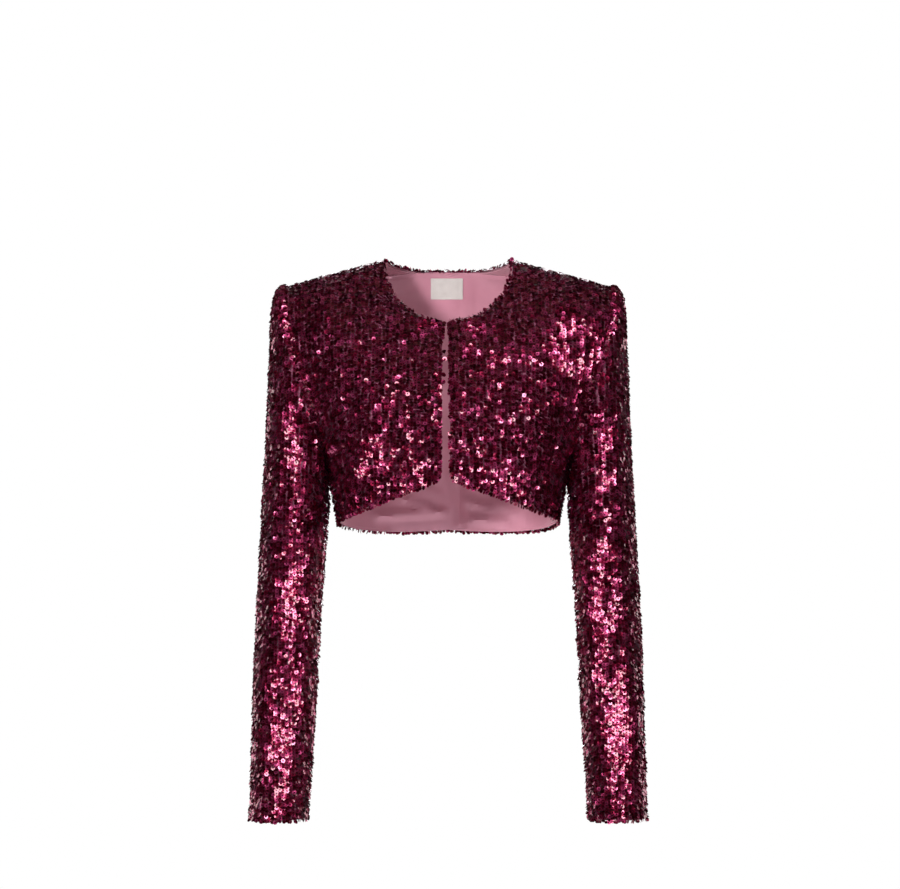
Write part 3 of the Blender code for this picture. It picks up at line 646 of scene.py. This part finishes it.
def row_grids(panel):
    """A panel's grids for laying rows, each as point numbers and every point's distance across the cloth.

    Distances start at the middle of the body, and at the outer line of a sleeve, which opens out at its
    inner seam.
    """
    if panel.name.startswith("sleeve"):
        index = panel.indexes[0]
        half = index.shape[1] // 2
        opened = np.concatenate([index[:, half:], index[:, : half + 1]], axis=1)[::-1]
        across = seen_from_above(panel.points[opened])
        return [(opened, across - across[:, half : half + 1])]
    grids = []
    for index in panel.indexes:
        places = panel.points[index]
        grids.append((index, np.abs(places[:, :1, 0]) + seen_from_above(places)))
    return grids


def at_rim(across, data, wanted, i):
    """Where a row crosses the rim between two sections."""
    outside = i if not across[i, 0] <= wanted[i] <= across[i, -1] else i - 1
    end = 0 if wanted[outside] < across[outside, 0] else -1
    before, after = wanted[i - 1] - across[i - 1, end], wanted[i] - across[i, end]
    share = before / (before - after)
    return data[i - 1, end] * (1 - share) + data[i, end] * share


def row_runs(across, data, wanted):
    """The stretches of one row that lie on the cloth, each as a list of places with their normals."""
    runs, run = [], []
    for i in range(len(wanted)):
        inside = across[i, 0] <= wanted[i] <= across[i, -1]
        if i and inside != bool(run):
            run.append(at_rim(across, data, wanted, i))
        if inside:
            run.append([np.interp(wanted[i], across[i], column) for column in data[i].T])
        elif run:
            runs.append(np.array(run))
            run = []
    if run:
        runs.append(np.array(run))
    return runs


def trimmed(run, start, end):
    """A run of places and normals without its first and last stretch, or None if nothing is left."""
    steps = np.linalg.norm(np.diff(run[:, :3], axis=0), axis=1)
    length = np.concatenate([[0], np.cumsum(steps)])
    if length[-1] < start + end + SEQUIN["Spacing"]:
        return None
    kept = [start, *length[(length > start) & (length < length[-1] - end)], length[-1] - end]
    return np.array([[np.interp(at, length, column) for column in run.T] for at in kept])


def laid_data(panel):
    """Where a sequin lies on each of a panel's points, with the way out of the cloth."""
    return np.concatenate([panel.points - panel.out * SEQUIN_DEPTH, panel.out], axis=1)


def panel_rows(panel, random):
    """Every row of sequins on a panel, as places with their normals, running up the cloth."""
    data = laid_data(panel)
    found = []
    for index, across in row_grids(panel):
        first = math.floor(across.min() / ROW_PITCH)
        last = math.ceil(across.max() / ROW_PITCH)
        heights = data[index][:, 0, 2]
        for number in range(first, last + 1):
            spots = [(height / ROW_WANDER_LENGTH, number * ROW_WANDER_APART, 0) for height in heights]
            wanted = (number + 0.5) * ROW_PITCH + ROW_WANDER * soft_noise(spots, 1)
            for run in row_runs(across, data[index], wanted):
                start = ROW_END + random.uniform(0, SEQUIN["Spacing"])
                run = trimmed(run, start, ROW_END)
                if run is not None:
                    found.append(run)
    return found


def rim_chains(panel):
    """The open rims that aren't sewn to another panel, each as a list of point numbers in order."""
    after = {a: b for a, b in edges_of(panel.faces) if not (a in panel.on_seam and b in panel.on_seam)}
    starts = [a for a in after if a not in after.values()] or list(after)[:1]
    chains = []
    for start in starts:
        chain = [start]
        while chain[-1] in after and after[chain[-1]] != start:
            chain.append(after[chain[-1]])
        if chain[-1] in after:
            chain.append(start)
        chains.append(chain)
    return chains


def rim_rows(panel):
    """Rows of sequins along a panel's open rims, leaning out over them."""
    inward = unit(towards_middles(panel.points, panel.faces))
    found = []
    for chain in rim_chains(panel):
        x, _, z = panel.points[chain].T
        in_gap = (np.abs(x - FRONT_MEETING_X) < FRONT_EDGE_WIDTH) & (z < FRONT_EDGE_TOP)
        overhang = np.where(in_gap & (panel.name != "back"), FRONT_EDGE_OVERHANG, RIM_OVERHANG)[:, None]
        places = panel.points[chain] - inward[chain] * overhang - panel.out[chain] * SEQUIN_DEPTH
        lies = (panel.out[chain, 2:] - RIM_STAND_FROM) / (RIM_STAND_FULL - RIM_STAND_FROM)
        angle = RIM_LEAN + (RIM_STAND - RIM_LEAN) * np.clip(lies, 0, 1)
        lean = panel.out[chain] * np.cos(angle) - inward[chain] * np.sin(angle)
        found.append(np.concatenate([places, lean], axis=1))
    return found


def seam_rows(panel):
    """Rows round a sleeve's armhole, where the cloth turns out from the seam."""
    if not panel.name.startswith("sleeve"):
        return []
    data = laid_data(panel)
    return [data[[*panel.indexes[0][ring], panel.indexes[0][ring][0]]] for ring in SEAM_ROWS]


def slipped(panel):
    """Guide lines for the single sequins beside the edge of the right front."""
    if panel.name != "front_right":
        return []
    edge = panel.points[panel.indexes[0][:, 0]]
    found = []
    for height in SLIPPED_HEIGHTS:
        beside = edge[np.argmin(np.abs(edge[:, 2] - height))]
        ends = (height, height + SLIPPED_LINE)
        found.append(np.array([(beside[0] + SLIPPED_OUT, beside[1], z, 0, -1, 0) for z in ends]))
    return found


def smoothness(panel, points, facing):
    """How smooth the sequins lie at each point, from 0 to 1."""
    seen = points * (-1 if panel.name == "sleeve_right" else 1, 1, 1)
    smooth = np.zeros(len(points))
    for row in SMOOTH_PATCHES["sleeve" if panel.name.startswith("sleeve") else panel.name]:
        patch = named(SMOOTH_COLUMNS, row[1:])
        across, up = (seen[:, 0] - patch.x) / patch.across, (seen[:, 2] - patch.z) / patch.up
        smooth = np.maximum(smooth, patch.share * np.exp(-SMOOTH_EDGE * (across**2 + up**2) ** 2))
    clusters = SMOOTH_CLUSTER_MEAN + SMOOTH_CLUSTER_SWING * soft_noise(points / SMOOTH_CLUSTERS, 1)
    turned = (np.abs(facing[:, 1]) - SMOOTH_TURN_FROM) / (SMOOTH_TURN_FULL - SMOOTH_TURN_FROM)
    return smooth * np.clip(clusters, 0, 1) * np.clip(turned, 0, 1)


def laid_on(panel, points, facing):
    """Where each sequin sits, which way it faces, how it nods and rolls with the cloth, and how loosely."""
    smooth = smoothness(panel, points, facing)
    upright = np.clip(1 - facing[:, 2] / FLAT_FROM, 0, UPRIGHT_MOST)
    ruffle = RUFFLE * (RUFFLE_ON_TOP + (1 - RUFFLE_ON_TOP) * upright)
    waves = [ruffle * soft_noise(points / RUFFLE_LENGTHS + shift, 1) for shift in (0, RUFFLE_APART)]
    flat = SMOOTH_TWIST * waves[0] - SEQUIN["Lean"]
    nod = (1 - smooth) * (RUFFLE_NOD * upright + waves[0]) + smooth * flat
    roll = waves[1] * (1 - smooth * (1 - SMOOTH_TWIST))
    way = SMOOTH_WAY * np.where(facing[:, 1:2] < 0, (1, 1, 1), (1, -1, 1))
    faced = unit(facing + smooth[:, None] * (way - facing))
    turn = np.hypot(np.sin(nod + SEQUIN["Lean"]), np.sin(roll))
    turn = np.hypot(turn, np.linalg.norm(faced - facing, axis=1))
    off = STAND_OFF * SEQUIN["Radius"] * turn * (STAND_OFF_ON_TOP + (1 - STAND_OFF_ON_TOP) * upright)
    return points + facing * off[:, None], faced, nod, roll, 1 - smooth * (1 - SMOOTH_LOOSE)


def guide_mesh(panel, runs, loose):
    """Guide lines for sequins as loose edges, with how each sequin faces, runs, nods and rolls."""
    points = np.concatenate([run[:, :3] for run in runs])
    facing = unit(np.concatenate([run[:, 3:] for run in runs]))
    along = unit(np.concatenate([np.gradient(run[:, :3], axis=0) for run in runs]))
    points, facing, nod, roll, slack = laid_on(panel, points, facing)
    edges, count = [], 0
    for run in runs:
        edges += [(count + i, count + i + 1) for i in range(len(run) - 1)]
        count += len(run)
    mesh = bpy.data.meshes.new("lines")
    mesh.from_pydata(points.tolist(), edges, [])
    loose = slack * np.repeat(loose, [len(run) for run in runs])
    given = {"facing": facing, "along": along, "nod": nod, "roll": roll, "loose": loose}
    for attribute, values in given.items():
        kind, key = ("FLOAT_VECTOR", "vector") if values.ndim > 1 else ("FLOAT", "value")
        mesh.attributes.new(attribute, kind, "POINT").data.foreach_set(key, values.ravel())
    return mesh


def socket(sockets, name):
    return next(one for one in sockets if one.enabled and one.name == name)


class Nodes:
    """Adds nodes to a tree. Each input is set to a value, or linked to the output that it is given."""

    def __init__(self, tree):
        self.tree = tree

    def node(self, kind, inputs=None, **settings):
        made = self.tree.nodes.new(kind)
        for key, value in settings.items():
            setattr(made, key, value)
        for key, value in (inputs or {}).items():
            target = socket(made.inputs, key) if isinstance(key, str) else made.inputs[key]
            if isinstance(value, bpy.types.NodeSocket):
                self.tree.links.new(value, target)
            else:
                target.default_value = value
        return made

    def add(self, kind, inputs=None, **settings):
        """The first output in use of a new node."""
        return next(one for one in self.node(kind, inputs, **settings).outputs if one.enabled)

    def math(self, operation, *values):
        return self.add("ShaderNodeMath", dict(enumerate(values)), operation=operation)

    def vector(self, operation, *values, **inputs):
        return self.add("ShaderNodeVectorMath", {**dict(enumerate(values)), **inputs}, operation=operation)

    def xyz(self, **axes):
        return self.add("ShaderNodeCombineXYZ", axes)


def new_group(name, kind, outputs, inputs):
    """A node group, with its named sockets by kind, and the sockets that it is given."""
    tree = bpy.data.node_groups.new(name, kind)
    for way, kinds in (("OUTPUT", outputs), ("INPUT", inputs)):
        for socket_kind, names in kinds.items():
            for each in names:
                tree.interface.new_socket(each, in_out=way, socket_type="NodeSocket" + socket_kind)
    return tree, Nodes(tree), tree.nodes.new("NodeGroupInput").outputs


def sequin_tree():
    """Geometry Nodes that set sequins along guide lines, each a shallow cupped disc like a fish scale."""
    outputs = {"Geometry": ["Geometry"]}
    inputs = {
        "Geometry": ["Geometry"],
        "Float": ["Spacing", "Radius", "Cup", "Film", "Stray", "Lean", "Tilt", "Spin"],
        "Int": ["Sides", "Map Side", "Seed"],
        "Material": ["Material"],
    }
    tree, nodes, given = new_group("Sequins along lines", "GeometryNodeTree", outputs, inputs)
    add, calculate = nodes.add, nodes.math

    def attribute(name, kind):
        return add("GeometryNodeInputNamedAttribute", {"Name": name}, data_type=kind)

    def store(geometry, name, value, kind, domain):
        stored = {"Geometry": geometry, "Name": name, "Value": value}
        return add("GeometryNodeStoreNamedAttribute", stored, data_type=kind, domain=domain)

    def random_between(low, high, kind, offset):
        seed = calculate("ADD", given["Seed"], offset)
        return add("FunctionNodeRandomValue", {"Min": low, "Max": high, "Seed": seed}, data_type=kind)

    def either_way(value, offset):
        return random_between(calculate("MULTIPLY", value, -1.0), value, "FLOAT", offset)

    place = add("GeometryNodeInputPosition")
    at_middle = {0: nodes.vector("LENGTH", place), 1: TOUCHING}
    middle = add("FunctionNodeCompare", at_middle, operation="LESS_THAN")

    def dished(surface, depth):
        down = nodes.xyz(Z=calculate("MULTIPLY", depth, -1.0))
        return add("GeometryNodeSetPosition", {"Geometry": surface, "Selection": middle, "Offset": down})

    sizes = {"Vertices": given["Sides"], "Radius": given["Radius"]}
    circle = add("GeometryNodeMeshCircle", sizes, fill_type="TRIANGLE_FAN")
    top = dished(circle, given["Cup"])
    turned_over = add("GeometryNodeFlipFaces", {"Mesh": circle})
    under = dished(turned_over, calculate("ADD", given["Cup"], given["Film"]))
    both = nodes.node("GeometryNodeJoinGeometry", {0: under})
    tree.links.new(top, both.inputs[0])
    disc = add("GeometryNodeMergeByDistance", {"Geometry": both.outputs[0], "Distance": TOUCHING})
    across = calculate("DIVIDE", 0.5, given["Radius"])
    on_disc = nodes.vector("MULTIPLY_ADD", place, nodes.xyz(X=across, Y=across), (0.5, 0.5, 0))
    disc = store(disc, "disc", on_disc, "FLOAT_VECTOR", "POINT")

    line = add("GeometryNodeMeshToCurve", {"Mesh": given["Geometry"]})
    line = add("GeometryNodeResampleCurve", {"Curve": line, "Length": given["Spacing"]}, mode="LENGTH")
    loose = attribute("loose", "FLOAT")
    stray = calculate("MULTIPLY", given["Stray"], loose)
    away = nodes.xyz(X=stray, Y=stray, Z=stray)
    strayed = random_between(nodes.vector("SCALE", away, Scale=-1.0), away, "FLOAT_VECTOR", 1)
    line = add("GeometryNodeSetPosition", {"Geometry": line, "Offset": strayed})
    axes = {
        "Primary Axis": attribute("facing", "FLOAT_VECTOR"),
        "Secondary Axis": attribute("along", "FLOAT_VECTOR"),
    }
    turned = add("FunctionNodeAxesToRotation", axes, primary_axis="Z", secondary_axis="Y")
    tilt = calculate("MULTIPLY", given["Tilt"], loose)
    nod = calculate("ADD", given["Lean"], attribute("nod", "FLOAT"))
    nod = calculate("ADD", nod, either_way(tilt, 2))
    roll = calculate("ADD", attribute("roll", "FLOAT"), either_way(tilt, 3))
    own_turn = nodes.xyz(X=nod, Y=roll, Z=either_way(given["Spin"], 4))
    own_turn = add("FunctionNodeEulerToRotation", {"Euler": own_turn})
    turns = {"Rotation": turned, "Rotate By": own_turn}
    turned = add("FunctionNodeRotateRotation", turns, rotation_space="LOCAL")
    size = random_between(SEQUIN_SMALLEST, SEQUIN_LARGEST, "FLOAT", 5)
    laid = {"Points": line, "Instance": disc, "Rotation": turned, "Scale": nodes.xyz(X=size, Y=size, Z=size)}
    discs = add("GeometryNodeInstanceOnPoints", laid)
    discs = store(discs, "tone", random_between(0.0, 1.0, "FLOAT", 6), "FLOAT", "INSTANCE")
    discs = store(discs, "which", add("GeometryNodeInputIndex"), "INT", "INSTANCE")
    mesh = add("GeometryNodeRealizeInstances", {"Geometry": discs})

    # Each sequin has a square of its own in the map
    which, side = attribute("which", "INT"), given["Map Side"]
    row = calculate("FLOOR", calculate("DIVIDE", which, side))
    corner = nodes.xyz(X=calculate("MODULO", which, side), Y=row)
    spot = nodes.vector("ADD", attribute("disc", "FLOAT_VECTOR"), corner)
    spot = nodes.vector("SCALE", spot, Scale=calculate("DIVIDE", 1.0, side))
    mesh = store(mesh, "OFBake", spot, "FLOAT2", "CORNER")
    mesh = add("GeometryNodeRemoveAttribute", {"Geometry": mesh, "Name": "which"})
    mesh = add("GeometryNodeSetMaterial", {"Geometry": mesh, "Material": given["Material"]})
    nodes.node("NodeGroupOutput", {0: mesh})
    return tree


def new_object(name, data):
    made = bpy.data.objects.new(name, data)
    bpy.context.collection.objects.link(made)
    return made


def grown(name, mesh, tree, values):
    """The plain mesh object that a tree of geometry nodes makes of guide lines."""
    made = new_object(name, mesh)
    modifier = made.modifiers.new("Sequins", "NODES")
    modifier.node_group = tree
    for item in tree.interface.items_tree:
        if item.in_out == "INPUT" and item.name in values:
            modifier[item.identifier] = values[item.name]
    depsgraph = bpy.context.evaluated_depsgraph_get()
    plain = bpy.data.meshes.new_from_object(
        made.evaluated_get(depsgraph), preserve_all_data_layers=True, depsgraph=depsgraph,
    )
    made.modifiers.clear()
    made.data = plain
    bpy.data.meshes.remove(mesh)
    return made


def make_sequins(panel, tree, material, seed):
    random = np.random.default_rng(seed)
    laid, rims = panel_rows(panel, random) + seam_rows(panel), rim_rows(panel) + slipped(panel)
    runs = laid + rims
    loose = [1.0] * len(laid) + [RIM_LOOSE] * len(rims)
    length = sum(np.linalg.norm(np.diff(run[:, :3], axis=0), axis=1).sum() for run in runs)
    count = length / SEQUIN["Spacing"] + 2 * len(runs)
    values = {**SEQUIN, "Map Side": math.ceil(math.sqrt(count)), "Seed": seed, "Material": material}
    made = grown("sequins_" + panel.name, guide_mesh(panel, runs, loose), tree, values)
    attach(made, "root")
    return made


def walled(points, faces, grow, start, thickness):
    """A closed wall: a surface moved in by start, and again by the thickness, joined at its rim.

    Its outer faces come first, then those of the rim, then as many inner ones as outer.
    """
    outer = points - grow * np.asarray(start).reshape(-1, 1)
    inner = outer - grow * thickness
    count = len(points)
    sides = [(b, a, a + count, b + count) for a, b in edges_of(faces)]
    backs = [tuple(i + count for i in reversed(face)) for face in faces]
    return np.vstack([outer, inner]), list(faces) + sides + backs


def solid(name, points, faces, material, lined=None, lined_faces=0):
    """A mesh object. Its last lined_faces faces take the material lined."""
    mesh = bpy.data.meshes.new(name)
    mesh.from_pydata(points.tolist(), [], faces)
    mesh.materials.append(material)
    if lined:
        mesh.materials.append(lined)
        mesh.polygons.foreach_set("material_index", [0] * (len(faces) - lined_faces) + [1] * lined_faces)
    mesh.shade_smooth()
    mesh.set_sharp_from_angle(angle=math.radians(SHARP_ANGLE))
    return new_object(name, mesh)


def make_cloth(panel, nodes, flat, area, sequins):
    """A panel's mesh cloth, lined in satin, under its sequins."""
    points, faces = walled(panel.points, panel.faces, panel.out, MESH_DEPTH, CLOTH_WALL)
    made = solid("cloth_" + panel.name, points, faces, MATERIALS.net, MATERIALS.satin, len(panel.faces))
    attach(made, "root")
    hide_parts(*nodes)


def make_lining(back):
    """The satin inside the back, made from the back's points, moved in, with its own folds."""
    faces = back.faces
    run, turn = towards_middles(back.points, faces), towards_middles(back.out, faces)
    laid, laid_grow = back.points.copy(), back.out.copy()
    for i in rim_of(faces):
        share = (LINING_SEAM_MARGIN if i in back.on_seam else LINING_EDGE_MARGIN) / np.linalg.norm(run[i])
        laid[i] += run[i] * share
        laid_grow[i] += turn[i] * share
    grown_in = np.clip(away_from(laid, laid[sorted(back.on_seam)]) / SEAM_FADE, 0, 1)
    lift = (fold_rise(laid, LINING_FOLDS) + pucker_on(laid + LINING_PUCKER_SHIFT)) * grown_in
    start = CAD_WALL + SEAM_GAP + np.maximum(lift, 0)
    points, faces = walled(laid, faces, laid_grow, start, LINING_WALL)
    made = solid("back_lining_satin", points, faces, MATERIALS.satin)
    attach(made, "root")
    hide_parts("back_lining")
    return made, points, faces


def make_label(lining_points, lining_faces, lining):
    """The woven label inside the back neck: a flat tape that follows the lining behind it."""
    behind = BVHTree.FromPolygons(lining_points.tolist(), lining_faces)
    grid = []
    for i in range(LABEL_UP + 1):
        for j in range(LABEL_ACROSS + 1):
            x = LABEL_X + LABEL_WIDTH * (j / LABEL_ACROSS - 0.5)
            z = LABEL_Z + LABEL_HEIGHT * (i / LABEL_UP - 0.5)
            hit = behind.ray_cast(Vector((x, -1, z)), Vector((0, 1, 0)))[0]
            grid.append((x, hit.y - LABEL_CLEARANCE - LABEL_WALL, z))
    grid = np.array(grid)
    faces = grid_faces(LABEL_UP + 1, LABEL_ACROSS + 1, False, False)
    into_cloth = unit(face_turns(grid, faces))
    points, faces = walled(grid, faces, into_cloth, 0.0, LABEL_WALL)
    made = solid("neck_label", points, faces, MATERIALS.label)
    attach(made, "root")
    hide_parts("label")


def new_material(name, colour, inputs):
    made = bpy.data.materials.new(name)
    made.use_nodes = True
    shader = made.node_tree.nodes["Principled BSDF"]
    for key, value in {"Base Color": (*colour, 1), **inputs}.items():
        shader.inputs[key].default_value = value
    return made, made.node_tree, shader


def ramp(tree, factor, stops):
    node = Nodes(tree).node("ShaderNodeValToRGB", {"Fac": factor})
    elements = node.color_ramp.elements
    for element, (position, colour) in zip(elements, stops):
        element.position, element.color = position, (*colour, 1)
    for position, colour in stops[2:]:
        elements.new(position).color = (*colour, 1)
    return node.outputs["Color"]


def woven_threads():
    """Fine crossing threads on Object coordinates, with soft unevenness: a height, and a shade that paints
    light on the threads' crowns and shade between them, mixed with the unevenness.

    The unevenness runs down the cloth in streaks where Cloud Flow is below 1. On the mesh backing these
    streaks are painted light, on cloth painted mostly in dark shade.
    """
    outputs = {"Float": ["Height", "Shade"]}
    tree, nodes, given = new_group("Woven threads", "ShaderNodeTree", outputs, {"Float": THREAD_INPUTS})
    calculate = nodes.math
    place = nodes.node("ShaderNodeTexCoord").outputs["Object"]
    axes = nodes.node("ShaderNodeSeparateXYZ", {"Vector": place}).outputs
    ridges = []
    for axis, pitch in (("X", "Pitch Across"), ("Z", "Pitch Up")):
        turn = calculate("DIVIDE", calculate("MULTIPLY", axes[axis], 2 * math.pi), given[pitch])
        ridges.append(calculate("MULTIPLY_ADD", calculate("SINE", turn), 0.5, 0.5))
    flowing = nodes.vector("MULTIPLY", place, nodes.xyz(X=1.0, Y=1.0, Z=given["Cloud Flow"]))
    scale = calculate("DIVIDE", 1.0, given["Cloud Size"])
    cloud = nodes.add("ShaderNodeTexNoise", {"Vector": flowing, "Scale": scale, "Detail": CLOUD_DETAIL})
    threads = calculate("MULTIPLY", *ridges)
    height = calculate("MULTIPLY_ADD", cloud, CLOUD_RISE, threads)
    shade = calculate("MULTIPLY_ADD", threads, THREAD_SHADE, calculate("MULTIPLY", cloud, 1 - THREAD_SHADE))
    nodes.node("NodeGroupOutput", {"Height": height, "Shade": shade})
    return tree


def cloth_material(threads, name, stops, weave, bump, inputs):
    """A cloth whose colour and height come from its woven threads."""
    made, tree, shader = new_material(name, stops[-1][1], inputs)
    nodes = Nodes(tree)
    woven = nodes.node("ShaderNodeGroup", dict(zip(THREAD_INPUTS, weave)), node_tree=threads).outputs
    # The ramp paints light on the threads' crowns and shade in the gaps, mixed with the cloth's uneven tone
    tree.links.new(ramp(tree, woven["Shade"], stops), shader.inputs["Base Color"])
    raised = nodes.add("ShaderNodeBump", {"Height": woven["Height"], "Distance": bump, "Strength": 1.0})
    tree.links.new(raised, shader.inputs["Normal"])
    return made


def sequin_material():
    """Metallic film, each disc its own shade, with a dark hole in its middle that has no clear coat."""
    made, tree, shader = new_material("sequin film", SEQUIN_TONES[-1][1], SEQUIN_FILM)
    nodes = Nodes(tree)
    tone = nodes.node("ShaderNodeAttribute", attribute_name="tone").outputs["Fac"]
    disc = nodes.node("ShaderNodeAttribute", attribute_name="disc").outputs["Vector"]
    around = ramp(tree, nodes.vector("DISTANCE", disc, (0.5, 0.5, 0)), SEQUIN_HOLE)
    shades = {"Factor": 1.0, "A": ramp(tree, tone, SEQUIN_TONES), "B": around}
    colour = nodes.add("ShaderNodeMix", shades, data_type="RGBA", blend_type="MULTIPLY")
    dull = nodes.add("ShaderNodeMapRange", {"Value": tone, **SEQUIN_ROUGHNESS})
    for key, value in (("Coat Weight", around), ("Base Color", colour), ("Roughness", dull)):
        tree.links.new(value, shader.inputs[key])
    return made


def make_materials():
    threads = woven_threads()
    return SimpleNamespace(
        sequin=sequin_material(),
        net=cloth_material(threads, *NET),
        satin=cloth_material(threads, *SATIN),
        label=cloth_material(threads, *LABEL),
    )


def make_floor():
    bpy.ops.mesh.primitive_circle_add(
        vertices=FLOOR_SIDES, radius=FLOOR_RADIUS, fill_type="NGON", location=(0, 0, FLOOR_Z),
    )
    floor = bpy.context.object
    floor.name = "floor"
    material, _, _ = new_material("pale floor", FLOOR_COLOUR, {"Roughness": FLOOR_ROUGHNESS})
    floor.data.materials.append(material)


def make_world():
    """A white backdrop for the eye, and a dim room with a pale ceiling for all that the jacket reflects."""
    world = bpy.data.worlds.new("studio")
    bpy.context.scene.world = world
    world.use_nodes = True
    world.node_tree.nodes.clear()
    nodes = Nodes(world.node_tree)
    seen_by = nodes.node("ShaderNodeLightPath").outputs

    def background(colour, strength):
        return nodes.add("ShaderNodeBackground", {"Color": colour, "Strength": strength})

    room = background(ROOM_COLOUR, ROOM_STRENGTH)
    way = nodes.node("ShaderNodeTexCoord").outputs["Generated"]
    up = nodes.node("ShaderNodeSeparateXYZ", {"Vector": way}).outputs["Z"]
    strengths = {"From Min": CEILING_FROM, "To Min": MIRRORED_STRENGTH, "To Max": CEILING_STRENGTH}
    mirrored = background(MIRRORED_COLOUR, nodes.add("ShaderNodeMapRange", {"Value": up, **strengths}))
    backdrop = background(BACKDROP_COLOUR, 1.0)
    lit = nodes.add("ShaderNodeMixShader", {0: seen_by["Is Glossy Ray"], 1: room, 2: mirrored})
    whole = nodes.add("ShaderNodeMixShader", {0: seen_by["Is Camera Ray"], 1: lit, 2: backdrop})
    nodes.node("ShaderNodeOutputWorld", {"Surface": whole})


def make_lights():
    for name, *row in LIGHTS:
        lamp = named(LIGHT_COLUMNS, row)
        light = bpy.data.lights.new(name, "AREA")
        light.shape, light.size, light.energy = "DISK", lamp.size, lamp.watts
        light.color = lamp.colour
        made = new_object(name, light)
        made.location = lamp.place
        made.rotation_euler = (LIT_POINT - made.location).to_track_quat("-Z", "Y").to_euler()
        made.visible_camera = False
        made.visible_diffuse = lamp.falls_on_cloth
        made.visible_glossy = lamp.mirrored


def make_camera():
    lens = bpy.data.cameras.new("camera")
    lens.sensor_width, lens.lens = SENSOR_WIDTH, SENSOR_WIDTH * CAMERA_DISTANCE / VIEW_WIDTH
    camera = new_object("camera", lens)
    camera.location = (VIEW_MIDDLE_X, -CAMERA_DISTANCE, VIEW_MIDDLE_Z)
    camera.rotation_euler = (math.pi / 2, 0, 0)
    bpy.context.scene.camera = camera


bpy.context.scene.view_settings.view_transform = "Standard"
make_camera()
make_world()
make_lights()
make_floor()
MATERIALS = make_materials()
panels = cut_panels()
sequins_along = sequin_tree()
for seed, (name, panel) in enumerate(panels.items(), start=1):
    sequins = make_sequins(panel, sequins_along, MATERIALS.sequin, seed)
    make_cloth(panel, *CUT_OF[name], sequins)
lining, lining_points, lining_faces = make_lining(panels["back"])
make_label(lining_points, lining_faces, lining)
